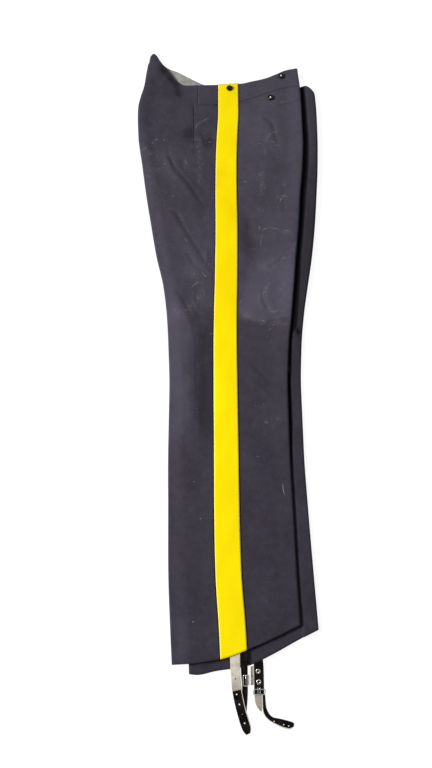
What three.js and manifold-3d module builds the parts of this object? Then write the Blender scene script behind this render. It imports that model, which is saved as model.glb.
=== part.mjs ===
// Uniform trousers, folded in half along their leg creases and laid flat, the right leg on the left one.
// Millimetres, +Z up, the waist towards +Y and the wearer's front towards +X. The origin is the middle of
// the underside. Plan positions are worked out from the middle of the sheet that the trousers lie on, and
// the whole model is moved back by SHEET_X and SHEET_Y.

import * as THREE from 'three';
import { mergeVertices } from 'three/addons/utils/BufferGeometryUtils.js';
import Module from 'manifold-3d';

const wasm = await Module();
wasm.setup();

// Driving sizes
const CLOTH = 1.8;
const SEAM = 0.3;
const STRIPE_WIDTH = 44;
const STRIPE_THICK = 1.1;
const LINING_THICK = 1;
const STRAP_THICK = 1.8;
const METAL_THICK = 1.8;
const BUTTON_RADIUS = 7;
const BUTTON_THICK = 4;
const SHEET_X = 25.365;
const SHEET_Y = 98.982;

// Space between walls that lie on each other
const CLEAR = 0.7;
const OPEN_MID = 2.6;
const STRIPE_STEP = STRIPE_THICK + SEAM;

// The folded outline at each height up the legs: the back crease, the outseam and the front crease of the
// right leg, and the same of the left leg beneath it
const OUTLINE = [
  { y: -490, back: -71, side: 30, front: 140, lowBack: -44, lowSide: 56, lowFront: 172.5 },
  { y: -421, back: -76, side: 27, front: 139.5, lowBack: -47, lowSide: 54, lowFront: 170 },
  { y: -328, back: -81.5, side: 21, front: 137, lowBack: -53, lowSide: 49, lowFront: 166 },
  { y: -229, back: -84, side: 19, front: 135, lowBack: -57, lowSide: 46, lowFront: 162 },
  { y: -123, back: -86.5, side: 18.5, front: 133, lowBack: -61, lowSide: 44, lowFront: 159 },
  { y: -12, back: -87, side: 18, front: 133.5, lowBack: -63, lowSide: 43, lowFront: 159 },
  { y: 77, back: -91, side: 17.7, front: 138.5, lowBack: -67, lowSide: 42, lowFront: 163.5 },
  { y: 139, back: -95.5, side: 18.3, front: 146, lowBack: -71, lowSide: 43, lowFront: 170.5 },
  { y: 202, back: -104, side: 19.8, front: 153, lowBack: -79, lowSide: 45, lowFront: 181 },
  { y: 268, back: -119.5, side: 20.8, front: 160, lowBack: -94, lowSide: 47, lowFront: 192.5 },
  { y: 336, back: -132, side: 21.5, front: 168, lowBack: -107, lowSide: 49, lowFront: 201.5 },
  { y: 407, back: -144.5, side: 21, front: 174, lowBack: -122, lowSide: 49, lowFront: 208.5 },
  { y: 480, back: -155.5, side: 21.5, front: 182, lowBack: -137, lowSide: 50, lowFront: 214.5 },
  { y: 555, back: -166.5, side: 24, front: 186, lowBack: -152, lowSide: 52, lowFront: 218 },
  { y: 621, back: -169.5, side: 27, front: 186, lowBack: -163, lowSide: 54, lowFront: 219 },
  { y: 685, back: -158.5, side: 27, front: 185, lowBack: -160, lowSide: 54, lowFront: 217 },
  { y: 731, back: -152.5, side: 27, front: 182, lowBack: -156, lowSide: 54, lowFront: 213 },
  { y: 775, back: -147, side: 27, front: 182, lowBack: -150, lowSide: 54, lowFront: 213 },
];

// Edges drawn across the garment: the hem and the top of each half, and the waistband's lower seam
const HEM_RIGHT = [
  { x: -80, y: -475 }, { x: -71, y: -474.4 }, { x: 7, y: -464.7 }, { x: 52, y: -450.3 },
  { x: 96.5, y: -432.5 }, { x: 140, y: -412.8 },
];
const HEM_LEFT = [
  { x: -44, y: -488 }, { x: -31, y: -489.4 }, { x: 0, y: -483.6 }, { x: 50, y: -476.3 },
  { x: 88, y: -461 }, { x: 139, y: -435.8 }, { x: 169, y: -421.9 },
];
const TOP_RIGHT = [
  { x: -154, y: 752 }, { x: -147.5, y: 766 }, { x: -139.5, y: 774 }, { x: -133, y: 768 },
  { x: -125.5, y: 755 }, { x: -105, y: 726.5 }, { x: -91, y: 706.5 }, { x: -80, y: 696 }, { x: -68, y: 692 },
  { x: -40, y: 692.5 }, { x: 51, y: 695 }, { x: 80, y: 702 }, { x: 111, y: 709 },
  { x: 133, y: 718 }, { x: 156, y: 728.5 }, { x: 182, y: 731.5 },
];
const TOP_LEFT = [
  { x: -157, y: 742 }, { x: -150, y: 757 }, { x: -143, y: 766 }, { x: -130, y: 762 },
  { x: -105, y: 741 }, { x: -90, y: 734.5 }, { x: -78, y: 727.5 }, { x: -46.5, y: 708 }, { x: -24, y: 696 },
  { x: 6, y: 681 }, { x: 50, y: 670 }, { x: 90, y: 669 }, { x: 130, y: 675 }, { x: 170, y: 685 },
  { x: 188, y: 689 }, { x: 198, y: 687.5 }, { x: 207, y: 681 }, { x: 215, y: 669 }, { x: 219, y: 658 },
];
const BAND_SEAM_RIGHT = [
  { x: -46, y: 639 }, { x: 4, y: 638.6 }, { x: 50, y: 644.8 }, { x: 74, y: 653.5 },
  { x: 101, y: 663.5 }, { x: 130, y: 673 }, { x: 159, y: 681.7 }, { x: 182, y: 681.7 },
];
const BAND_DEPTH_LEFT = 46;

// Where the waistband starts, at the back of each half, and where the left one's top corner starts to bend
const BAND_START = { right: -40.3, left: -14 };
const LEFT_CORNER = 188;

// Soft sizes up the legs. Each crease is a loop, from one wall's middle to the other's: loopFront and
// loopBack on the right leg, lowLoopBack on the left. ridge is how high the left leg's front stands beside
// the right leg, and groove is the width of the valley between the two. open and lowOpen are the space
// inside each leg, wider at the hem, where the foot straps go in.
const SOFT = [
  { y: -490, loopFront: 6, loopBack: 6, lowLoopBack: 5, ridge: 8.5, groove: 1.5, open: 3.2, lowOpen: 2.6 },
  { y: -430, loopFront: 6, loopBack: 6, lowLoopBack: 5, ridge: 8.5, groove: 1.5, open: 3.2, lowOpen: 2.6 },
  { y: -340, loopFront: 5.5, loopBack: 6, lowLoopBack: 4, ridge: 7, groove: 2, open: 2.2, lowOpen: 0.6 },
  { y: -100, loopFront: 6, loopBack: 6.5, lowLoopBack: 4, ridge: 7, groove: 3, open: 2.2, lowOpen: 0.6 },
  { y: 60, loopFront: 6.5, loopBack: 7, lowLoopBack: 4, ridge: 8, groove: 4, open: 2.6, lowOpen: 0.6 },
  { y: 200, loopFront: 8, loopBack: 8, lowLoopBack: 4.5, ridge: 10, groove: 8.5, open: 3.2, lowOpen: 0.6 },
  { y: 380, loopFront: 9.5, loopBack: 9.5, lowLoopBack: 5, ridge: 12, groove: 10, open: 3.4, lowOpen: 0.6 },
  { y: 520, loopFront: 10.5, loopBack: 10, lowLoopBack: 5, ridge: 13, groove: 11, open: 3.2, lowOpen: 0.6 },
  { y: 640, loopFront: 9.5, loopBack: 9, lowLoopBack: 4.5, ridge: 12, groove: 11, open: 2.8, lowOpen: 0.6 },
  { y: 700, loopFront: 8, loopBack: 7, lowLoopBack: 4, ridge: 10, groove: 10, open: 2.6, lowOpen: 0.6 },
  { y: 780, loopFront: 7, loopBack: 5, lowLoopBack: 3.5, ridge: 9, groove: 9, open: 2.6, lowOpen: 0.6 },
];
const FORK_Y = 380;
const INSEAM_X = 34;
const FORK = [
  { y: 380, centreFront: 34.2, centreBack: 33.8 },
  { y: 400, centreFront: 62, centreBack: -22 },
  { y: 430, centreFront: 95, centreBack: -62 },
  { y: 480, centreFront: 122, centreBack: -96 },
  { y: 560, centreFront: 138, centreBack: -124 },
  { y: 640, centreFront: 142, centreBack: -134 },
  { y: 700, centreFront: 143, centreBack: -134 },
  { y: 780, centreFront: 143, centreBack: -130 },
];

// The largest folds of the upper leg, each a soft ridge, or a trough where height is below zero, from one
// end to the other
const FOLDS = [
  { x0: -108, y0: 492, x1: -30, y1: 392, width: 15, height: 1.7 },
  { x0: -92, y0: 512, x1: -12, y1: 404, width: 13, height: -1.5 },
  { x0: -96, y0: 362, x1: -16, y1: 222, width: 18, height: 1.5 },
  { x0: -76, y0: 372, x1: 0, y1: 242, width: 15, height: -1.3 },
  { x0: -96, y0: 196, x1: -48, y1: 122, width: 17, height: 1.8 },
  { x0: -50, y0: 112, x1: -44, y1: -70, width: 16, height: 1.5 },
  { x0: -62, y0: 186, x1: -22, y1: 128, width: 13, height: -1.6 },
  { x0: -20, y0: 112, x1: -16, y1: -90, width: 13, height: -1.5 },
  { x0: 92, y0: 622, x1: 122, y1: 545, width: 14, height: 1.2 },
  { x0: 62, y0: 372, x1: 62, y1: 296, width: 15, height: -1.4 },
  { x0: 88, y0: 238, x1: 146, y1: 270, width: 13, height: 1.3 },
];

const RIGHT_ROWS = [
  -464, -425, -375, -320, -262, -204, -146, -90, -36, 14, 60, 100, 138, 174, 210, 246, 282, 318, 352,
  380, 400, 428, 460, 495, 530, 560, 585, 605, 621, 635,
];
const LEFT_ROWS = [
  -476, -425, -350, -262, -174, -90, -10, 60, 100, 138, 190, 246, 300, 352, 380, 400, 428, 460, 500,
  545, 575, 598, 621,
];
const ROWS_BEND_Y = 545;

// A smooth curve through one column of a table, straight on past its ends
function curve(table, along, column) {
  const xs = table.map((row) => row[along]);
  const ys = table.map((row) => row[column]);
  const last = xs.length - 1;
  const steep = xs.slice(1).map((x, i) => (ys[i + 1] - ys[i]) / (x - xs[i]));
  const slopes = xs.map((x, i) => {
    if (i === 0) return steep[0];
    if (i === last) return steep[last - 1];
    if (steep[i - 1] * steep[i] <= 0) return 0;
    return (2 * steep[i - 1] * steep[i]) / (steep[i - 1] + steep[i]);
  });
  return (x) => {
    const inside = Math.min(Math.max(x, xs[0]), xs[last]);
    const i = Math.min(Math.max(xs.findIndex((value) => value > inside) - 1, 0), last - 1);
    const j = inside >= xs[last] ? last - 1 : i;
    const h = xs[j + 1] - xs[j];
    const t = (inside - xs[j]) / h;
    const a = ys[j] * (1 + 2 * t) * (1 - t) ** 2 + slopes[j] * h * t * (1 - t) ** 2;
    const b = ys[j + 1] * t * t * (3 - 2 * t) + slopes[j + 1] * h * t * t * (t - 1);
    return a + b;
  };
}

function columns(table, along, names) {
  return Object.fromEntries(names.map((name) => [name, curve(table, along, name)]));
}

function smooth(t) {
  const s = Math.min(Math.max(t, 0), 1);
  return s * s * (3 - 2 * s);
}

const outline = columns(OUTLINE, 'y', ['back', 'side', 'front', 'lowBack', 'lowSide', 'lowFront']);
const soft = columns(SOFT, 'y', [
  'loopFront', 'loopBack', 'lowLoopBack', 'ridge', 'groove', 'open', 'lowOpen',
]);
const fork = columns(FORK, 'y', ['centreFront', 'centreBack']);
const hemRight = curve(HEM_RIGHT, 'x', 'y');
const hemLeft = curve(HEM_LEFT, 'x', 'y');
const topRight = curve(TOP_RIGHT, 'x', 'y');
const topLeft = curve(TOP_LEFT, 'x', 'y');
const seamRight = curve(BAND_SEAM_RIGHT, 'x', 'y');
const seamLeft = (x) => (
  topLeft(Math.min(Math.max(x, BAND_START.left), LEFT_CORNER)) - BAND_DEPTH_LEFT
);

// The inner edge of a front (side 1) or a back (side -1): the inseam, or the centre seam above the fork
function innerEdge(front, y) {
  if (y <= FORK_Y) return INSEAM_X + (front ? SEAM / 2 : -SEAM / 2);
  return front ? fork.centreFront(y) : fork.centreBack(y);
}

// How much of the inner layers lies at a point: 1 over them, fading to 0 past the centre seams
const FADE = 60;
function layers(x, y) {
  if (y <= FORK_Y) return 1;
  const front = smooth((x - innerEdge(true, y) + FADE) / FADE);
  const back = smooth((innerEdge(false, y) + FADE - x) / FADE);
  return Math.max(front, back);
}

// The upper wall sinks slowly above the fork, where the inner layers under it end
const SINK_STEPS = [0, 30, 60, 90, 120, 150];
function lyingLayers(x, y) {
  return SINK_STEPS.reduce((sum, step) => sum + layers(x, y - step), 0) / SINK_STEPS.length;
}

// Heights of the walls' middles. The left leg lies on the floor, flat apart from the step over its stripe,
// and the walls above it follow that step softly.
const STEP_RUN = 9;
const SOFT_RUN = 60;
function stripeStep(x, y, run) {
  const past = Math.abs(x - outline.lowSide(y)) - STRIPE_WIDTH / 2;
  return STRIPE_STEP * (1 - smooth(past / run));
}

function leftOuter(x, y) {
  return CLOTH / 2 + stripeStep(x, y, STEP_RUN);
}

const LOW_LOOP_RUN = 40;
function leftInnerFlat(x, y) {
  const back = smooth((outline.lowBack(y) + LOW_LOOP_RUN - x) / LOW_LOOP_RUN);
  const open = soft.lowOpen(y);
  const extra = Math.max(soft.lowLoopBack(y) - CLOTH - open, 0) * back;
  return CLOTH / 2 + stripeStep(x, y, SOFT_RUN) + CLOTH + open + extra;
}

// The ridge of the left leg's front starts just beyond the right leg's front crease
const RIDGE_START = 0.5;
const RIDGE_RISE = 5;
function leftInner(x, y) {
  const foot = outline.front(y) + RIDGE_START;
  const rise = smooth((x - foot) / (soft.groove(y) + RIDGE_RISE));
  const low = leftInnerFlat(x, y);
  return low + (Math.max(soft.ridge(y) - CLOTH / 2, low) - low) * rise;
}

// The right leg's lower wall lies on the left leg and drops to the floor past the left leg's back crease
const DROP_START = 4;
const DROP_RUN = 32;
function rightInner(x, y) {
  const edge = outline.lowBack(y);
  const over = leftInnerFlat(Math.max(x, edge), y) + CLOTH + CLEAR;
  const onFloor = CLOTH / 2;
  return over + (onFloor - over) * smooth((edge + DROP_START - x) / DROP_RUN);
}

// A fold's height fades in and out over FOLD_FADE of its length, from FOLD_PAST beyond each end
const FOLD_FADE = 0.34;
const FOLD_PAST = 0.12;
function foldHeight(x, y) {
  return FOLDS.reduce((sum, fold) => {
    const dx = fold.x1 - fold.x0;
    const dy = fold.y1 - fold.y0;
    const length = Math.hypot(dx, dy);
    const along = ((x - fold.x0) * dx + (y - fold.y0) * dy) / (length * length);
    const across = ((x - fold.x0) * dy - (y - fold.y0) * dx) / length;
    const ends = smooth((along + FOLD_PAST) / FOLD_FADE) * smooth((1 + FOLD_PAST - along) / FOLD_FADE);
    return sum + fold.height * ends * Math.exp(-((across / fold.width) ** 2));
  }, 0);
}

const LOOP_RUN = 34;
const FOLD_MARGIN = 30;
function rightOuter(x, y) {
  const inner = rightInner(x, y);
  const single = CLOTH / 2 + stripeStep(x, y, SOFT_RUN) + CLOTH + OPEN_MID;
  const flat = inner + CLOTH + soft.open(y);
  const lying = single + (flat - single) * lyingLayers(x, y);
  const toFront = smooth((x - outline.front(y) + LOOP_RUN) / LOOP_RUN);
  const toBack = smooth((outline.back(y) + LOOP_RUN - x) / LOOP_RUN);
  const front = (inner + soft.loopFront(y) - lying) * toFront;
  const back = (inner + soft.loopBack(y) - lying) * toBack;
  const edge = Math.min(x - outline.back(y), outline.front(y) - x);
  return lying + front + back + foldHeight(x, y) * smooth(edge / FOLD_MARGIN);
}

// The two halves of the folded garment: their walls' middles, and the round end of each crease
const HALVES = {
  right: {
    outer: rightOuter,
    inner: rightInner,
    creases: { front: outline.front, back: outline.back },
    side: outline.side,
    bulge: 3.2,
  },
  left: {
    outer: leftOuter,
    inner: leftInner,
    creases: { front: outline.lowFront, back: outline.lowBack },
    side: outline.lowSide,
    bulge: 4,
  },
};

// A point of a panel in one of its columns, nudged along the cloth, away from the outseam. The outer
// and inner walls' columns have their place across them, and the round end's have their angle.
function panelPoint(half, front, column, y, nudge = 0) {
  const way = front ? 1 : -1;
  const turnX = half.creases[front ? 'front' : 'back'](y) - way * (CLOTH / 2 + half.bulge);
  if (column.zone === 'outer') {
    const x = column.xAt(y, turnX) + way * nudge;
    return new THREE.Vector3(x, y, half.outer(x, y));
  }
  if (column.zone === 'inner') {
    const x = column.xAt(y, turnX, innerEdge(front, y)) - way * nudge;
    return new THREE.Vector3(x, y, half.inner(x, y));
  }
  const angle = column.angle + nudge / half.bulge;
  const outerZ = half.outer(turnX, y);
  const innerZ = half.inner(turnX, y);
  const x = turnX + way * half.bulge * Math.sin(angle);
  return new THREE.Vector3(x, y, (outerZ + innerZ) / 2 + ((outerZ - innerZ) / 2) * Math.cos(angle));
}

// The panel's direction at a point, square to the cloth and out of the folded garment
const ACROSS_REACH = 0.2;
const ALONG_REACH = 1;
function panelNormal(half, front, column, y) {
  const along = panelPoint(half, front, column, y, ACROSS_REACH)
    .sub(panelPoint(half, front, column, y, -ACROSS_REACH));
  const up = panelPoint(half, front, column, y + ALONG_REACH)
    .sub(panelPoint(half, front, column, y - ALONG_REACH));
  const normal = along.cross(up).normalize();
  return (half === HALVES.right) === front ? normal : normal.negate();
}

// A grid of points, a row for each share of the way from the lower edge to the upper one. A point's y depends
// on its x and its x on its y, so it is brought closer in several turns.
const TURNS = 30;
const TURN_SHARE = 0.7;
function makeGrid(half, front, panelColumns, rows, rowY) {
  return rows.map((row) => panelColumns.map((column) => {
    let y = rowY(row, half.side(0), column);
    for (let turn = 0; turn < TURNS; turn += 1) {
      const { x } = panelPoint(half, front, column, y);
      y += (rowY(row, x, column) - y) * TURN_SHARE;
    }
    return {
      point: panelPoint(half, front, column, y),
      normal: panelNormal(half, front, column, y),
    };
  }));
}

// Rows of a leg panel. Up to ROWS_BEND_Y they follow the hem, and above it they follow the top edge.
function legRow(rows, hem) {
  const first = rows[0];
  const last = rows[rows.length - 1];
  return (row, x, column) => {
    if (row <= ROWS_BEND_Y) {
      return hem(x) + ((ROWS_BEND_Y - hem(x)) * (row - first)) / (ROWS_BEND_Y - first);
    }
    return ROWS_BEND_Y + ((column.top(x) - ROWS_BEND_Y) * (row - ROWS_BEND_Y)) / (last - ROWS_BEND_Y);
  };
}

function bandRow(low, high) {
  return (row, x) => low(x) + (high(x) - low(x)) * row;
}

// A closed wall between two distances from a grid of points, along each point's own direction
function wall(grid, near, far) {
  const height = grid.length;
  const width = grid[0].length;
  const positions = [];
  for (const distance of [near, far]) {
    for (const line of grid) {
      for (const { point, normal } of line) {
        positions.push(...point.clone().addScaledVector(normal, distance).toArray());
      }
    }
  }
  const at = (layer, row, column) => (layer * height + row) * width + column;
  const faces = [];
  const quad = (a, b, c, d) => faces.push(a, b, c, a, c, d);
  for (let row = 0; row < height - 1; row += 1) {
    for (let column = 0; column < width - 1; column += 1) {
      const corners = [[row, column], [row, column + 1], [row + 1, column + 1], [row + 1, column]];
      const [a, b, c, d] = corners.map((corner) => at(1, ...corner));
      const [e, f, g, h] = corners.map((corner) => at(0, ...corner));
      quad(a, b, c, d);
      faces.push(e, g, f, e, h, g);
    }
  }
  for (let column = 0; column < width - 1; column += 1) {
    quad(at(0, 0, column), at(0, 0, column + 1), at(1, 0, column + 1), at(1, 0, column));
    const top = height - 1;
    quad(at(1, top, column), at(1, top, column + 1), at(0, top, column + 1), at(0, top, column));
  }
  for (let row = 0; row < height - 1; row += 1) {
    quad(at(1, row, 0), at(1, row + 1, 0), at(0, row + 1, 0), at(0, row, 0));
    const edge = width - 1;
    quad(at(0, row, edge), at(0, row + 1, edge), at(1, row + 1, edge), at(1, row, edge));
  }
  const geometry = new THREE.BufferGeometry();
  geometry.setAttribute('position', new THREE.Float32BufferAttribute(positions, 3));
  geometry.setIndex(faces);
  if (volume(geometry) < 0) {
    for (let i = 0; i < faces.length; i += 3) [faces[i + 1], faces[i + 2]] = [faces[i + 2], faces[i + 1]];
    geometry.setIndex(faces);
  }
  return geometry;
}

function volume(geometry) {
  const position = geometry.attributes.position;
  const index = geometry.index;
  const [a, b, c] = [new THREE.Vector3(), new THREE.Vector3(), new THREE.Vector3()];
  let sum = 0;
  for (let i = 0; i < index.count; i += 3) {
    a.fromBufferAttribute(position, index.getX(i));
    b.fromBufferAttribute(position, index.getX(i + 1));
    c.fromBufferAttribute(position, index.getX(i + 2));
    sum += a.dot(b.cross(c));
  }
  return sum;
}

// Column lists of the panels
function spread(from, to, count) {
  return Array.from({ length: count }, (_, i) => from + ((to - from) * i) / (count - 1));
}

// Columns under half of the stripe, from the outseam outwards
function stripeColumns(half, way, start, top) {
  const offsets = [start, STRIPE_WIDTH / 4, STRIPE_WIDTH / 2, STRIPE_WIDTH / 2 + STEP_RUN];
  return offsets.map((offset) => ({
    zone: 'outer', top, xAt: (y) => half.side(y) + way * offset,
  }));
}

// Columns from a line on the outer wall to the crease and round it
function creaseColumns(startAt, outer, turn, top) {
  return [
    ...spread(0, 1, outer).slice(1).map((share) => ({
      zone: 'outer', top, xAt: (y, turnX) => startAt(y) + (turnX - startAt(y)) * share,
    })),
    ...spread(0, Math.PI, turn).slice(1, -1).map((angle) => ({ zone: 'turn', top, angle })),
  ];
}

// Columns of an inner wall, close together near the crease, where it bends
const INNER_SHARES = [0, 0.05, 0.1, 0.16, 0.23, 0.32, 0.5, 0.75, 1];
function innerColumns(top) {
  return INNER_SHARES.map((share) => ({
    zone: 'inner', top, xAt: (y, turnX, edgeX) => turnX + (edgeX - turnX) * share,
  }));
}

// Columns of the left front's inner wall, close together over its ridge
function ridgeColumns(top) {
  const footX = (y) => outline.front(y) + RIDGE_START;
  const crestX = (y) => footX(y) + soft.groove(y) + RIDGE_RISE;
  const onRidge = [
    (y, turnX) => turnX,
    (y, turnX) => (turnX + crestX(y)) / 2,
    ...[1, 0.8, 0.6, 0.4, 0.2, 0].map((share) => (y) => footX(y) + (crestX(y) - footX(y)) * share),
  ];
  const under = [0.1, 0.4, 1].map((share) => (y, turnX, edgeX) => footX(y) + (edgeX - footX(y)) * share);
  return [...onRidge, ...under].map((xAt) => ({ zone: 'inner', top, xAt }));
}

// Materials, from the photograph
function finish(color, roughness, metalness = 0) {
  return new THREE.MeshStandardMaterial({ color, roughness, metalness });
}

const NAVY_WOOL = finish(0x35333c, 0.95);
const YELLOW_CLOTH = finish(0xf0d020, 0.85);
const PALE_LINING = finish(0x9a9894, 0.9);
const BLACK_BUTTON = finish(0x101012, 0.25);
const BLACK_LEATHER = finish(0x1a1918, 0.6);
const PALE_LEATHER = finish(0xd9d3c4, 0.85);
const STEEL = finish(0x8d8b84, 0.4, 1);

const trousers = new THREE.Group();
trousers.name = 'uniform_trousers';
trousers.position.set(-SHEET_X, -SHEET_Y, 0);

function add(name, geometry, material) {
  const mesh = new THREE.Mesh(geometry, material);
  mesh.name = name;
  trousers.add(mesh);
  return mesh;
}

const INSIDE = -CLOTH / 2;
const OUTSIDE = CLOTH / 2;
const below = (edge) => (x) => edge(x) - SEAM / 2;
const above = (edge) => (x) => edge(x) + SEAM / 2;

const afterStripe = (half, way) => (y) => half.side(y) + way * (STRIPE_WIDTH / 2 + STEP_RUN);

function frontColumns(half, counts, top) {
  return [
    ...stripeColumns(half, 1, SEAM / 2, top),
    ...creaseColumns(afterStripe(half, 1), counts.outer, counts.turn, top),
    ...(half === HALVES.left ? ridgeColumns(top) : innerColumns(top)),
  ];
}

// A back is cut up to the top edge behind the waistband's start, and stops at the waistband's seam beside it
function backColumns(half, counts, startX, seam, top) {
  return [
    ...stripeColumns(half, -1, SEAM / 2, seam),
    { zone: 'outer', top: seam, xAt: () => startX + SEAM / 2 },
    { zone: 'outer', top, xAt: () => startX - SEAM / 2 },
    ...creaseColumns(() => startX - SEAM / 2, counts.outer, counts.turn, top),
    ...innerColumns(top),
  ];
}

// The waistband runs from its start at the back, over the outseam and round the front crease
function bandColumns(half, counts, startX) {
  const offsets = [-2, -1, 0, 1, 2].map((quarter) => (quarter * STRIPE_WIDTH) / 4);
  const reach = STRIPE_WIDTH / 2 + STEP_RUN;
  return [
    { zone: 'outer', xAt: () => startX + SEAM / 2 },
    ...[-reach, ...offsets, reach].map((offset) => ({ zone: 'outer', xAt: (y) => half.side(y) + offset })),
    ...creaseColumns(afterStripe(half, 1), counts.outer, counts.turn),
    ...(half === HALVES.left ? ridgeColumns() : innerColumns()),
  ];
}

// The stripe covers the outseam from the hem to the top edge. Its points are the leg's and the waistband's.
function stripeGrid(back, front, band) {
  const leg = back.map((line, i) => [line[2], line[1], line[0], front[i][1], front[i][2]]);
  return [...leg, ...band.map((line) => line.slice(2, 7))];
}

function makeHalf(side, hem, seam, top, rows, counts) {
  const half = HALVES[side];
  const start = BAND_START[side];
  const rowY = legRow(rows, hem);
  const frontGrid = makeGrid(half, true, frontColumns(half, counts, below(seam)), rows, rowY);
  const backList = backColumns(half, counts, start, below(seam), top);
  const backGrid = makeGrid(half, false, backList, rows, rowY);
  const bandList = bandColumns(half, counts, start);
  const bandGrid = makeGrid(half, true, bandList, [0, 0.5, 1], bandRow(above(seam), top));
  add(`${side}_front`, wall(frontGrid, INSIDE, OUTSIDE), NAVY_WOOL);
  add(`${side}_back`, wall(backGrid, INSIDE, OUTSIDE), NAVY_WOOL);
  add(`${side}_waistband`, wall(bandGrid, INSIDE, OUTSIDE), NAVY_WOOL);
  const stripe = stripeGrid(backGrid, frontGrid, bandGrid);
  add(`${side}_stripe`, wall(stripe, OUTSIDE + SEAM, OUTSIDE + SEAM + STRIPE_THICK), YELLOW_CLOTH);
}

// Right leg, on top, and left leg, beneath. The counts are of columns on the outer wall and round the crease.
makeHalf('right', hemRight, seamRight, topRight, RIGHT_ROWS, { outer: 7, turn: 6 });
makeHalf('left', hemLeft, seamLeft, topLeft, LEFT_ROWS, { outer: 3, turn: 6 });

// The pale lining that shows inside the back of the waist, on the left half
const LINING = { fromX: -26, toX: -127, depth: 34, hem: 1.5, columns: 8 };
const liningColumns = spread(LINING.fromX, LINING.toX, LINING.columns).map((x) => ({
  zone: 'outer', xAt: () => x,
}));
const liningRow = bandRow((x) => topLeft(x) - LINING.depth, (x) => topLeft(x) - LINING.hem);
const liningGrid = makeGrid(HALVES.left, false, liningColumns, [0, 0.5, 1], liningRow);
const liningNear = INSIDE - SEAM;
add('waist_lining', wall(liningGrid, liningNear - LINING_THICK, liningNear), PALE_LINING);

// Brace buttons: a dished disc with a round rim, just above the cloth beneath it
const BUTTONS = [
  { name: 'button_side', x: 29.7, y: 680, lift: SEAM + STRIPE_THICK },
  { name: 'button_front_upper', x: 144.2, y: 711.4, lift: 0 },
  { name: 'button_front_lower', x: 119.3, y: 652.7, lift: 0 },
];
const BUTTON_STEPS = 16;
const DISH_SHARE = 0.45;
const DISH_DEPTH = 1;
const DISH_FALL = 0.1;

function buttonGeometry() {
  const rim = BUTTON_THICK / 2;
  const dish = DISH_SHARE * BUTTON_RADIUS;
  const floor = BUTTON_THICK - DISH_DEPTH;
  const profile = [new THREE.Vector2(0, 0), new THREE.Vector2(BUTTON_RADIUS - rim, 0)];
  for (const angle of spread(-Math.PI / 2, Math.PI / 2, 6).slice(1)) {
    const x = BUTTON_RADIUS - rim + rim * Math.cos(angle);
    profile.push(new THREE.Vector2(x, rim + rim * Math.sin(angle)));
  }
  profile.push(new THREE.Vector2(dish, floor), new THREE.Vector2(0, floor - DISH_FALL));
  return new THREE.LatheGeometry(profile, BUTTON_STEPS).rotateX(Math.PI / 2);
}

function clothTopUnder(x, y, radius) {
  const around = spread(0, 2 * Math.PI, 13).map((angle) => (
    rightOuter(x + radius * Math.cos(angle), y + radius * Math.sin(angle))
  ));
  return Math.max(rightOuter(x, y), ...around) + CLOTH / 2;
}

for (const { name, x, y, lift } of BUTTONS) {
  const button = add(name, buttonGeometry(), BLACK_BUTTON);
  button.position.set(x, y, clothTopUnder(x, y, BUTTON_RADIUS) + lift + SEAM);
}

// Foot straps. Each is a band between its two edges, given row by row down its length, with z the height of
// its underside, from inside the hem down to the floor.
const RIGHT_BILLET = [
  { leftX: 22.8, leftY: -442, rightX: 38.9, rightY: -442, z: 10.9 },
  { leftX: 22.8, leftY: -462, rightX: 38.9, rightY: -462, z: 10.9 },
  { leftX: 23, leftY: -472.1, rightX: 39, rightY: -472.1, z: 10.6 },
  { leftX: 23.7, leftY: -484.5, rightX: 39.3, rightY: -484.5, z: 8.9 },
  { leftX: 24.6, leftY: -497.2, rightX: 39.9, rightY: -497.2, z: 6.4 },
  { leftX: 26.3, leftY: -513.2, rightX: 41.3, rightY: -510.2, z: 3.4 },
  { leftX: 29.3, leftY: -528.6, rightX: 44, rightY: -524.6, z: 2.4 },
  { leftX: 33.4, leftY: -544.3, rightX: 48, rightY: -540.8, z: 2.4 },
  { leftX: 39.2, leftY: -562.4, rightX: 53.5, rightY: -557.4, z: 1.2 },
  { leftX: 43.1, leftY: -570.9, rightX: 55.7, rightY: -565.8, z: 0.2 },
  { leftX: 47.7, leftY: -576, rightX: 54.8, rightY: -573, z: 0 },
];
// The billet's pale lining starts just outside the hem and goes down to the billet's sixth row
const BILLET_LINING = [
  { leftX: 22.8, leftY: -461.4, rightX: 38.9, rightY: -455.8, z: 10.9 },
  ...RIGHT_BILLET.slice(2, 6),
];
const RIGHT_BUCKLE_STRAP = [
  { leftX: 39.6, leftY: -442, rightX: 51.1, rightY: -442, z: 10.9 },
  { leftX: 39.6, leftY: -462, rightX: 51.1, rightY: -462, z: 10.9 },
  { leftX: 39.8, leftY: -472.1, rightX: 51.1, rightY: -472.1, z: 10.4 },
  { leftX: 40.3, leftY: -483.7, rightX: 51.2, rightY: -483.7, z: 8.3 },
  { leftX: 42.2, leftY: -511, rightX: 51.4, rightY: -511, z: 0.3 },
  { leftX: 39.6, leftY: -523.3, rightX: 50.9, rightY: -523.3, z: 0 },
  { leftX: 36.5, leftY: -547.6, rightX: 48.1, rightY: -549.7, z: 0 },
];
const LEFT_BUCKLE_STRAP = [
  { leftX: 60.9, leftY: -456, rightX: 76.6, rightY: -456, z: 3.7 },
  { leftX: 60.9, leftY: -466, rightX: 76.6, rightY: -466, z: 3.7 },
  { leftX: 61.5, leftY: -476.8, rightX: 77.3, rightY: -476.8, z: 3.5 },
  { leftX: 61.8, leftY: -491.8, rightX: 77.7, rightY: -491.8, z: 0 },
  { leftX: 61.8, leftY: -505, rightX: 77.7, rightY: -505, z: 0 },
  { leftX: 61.8, leftY: -519.2, rightX: 77.7, rightY: -519.2, z: 0 },
];
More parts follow.
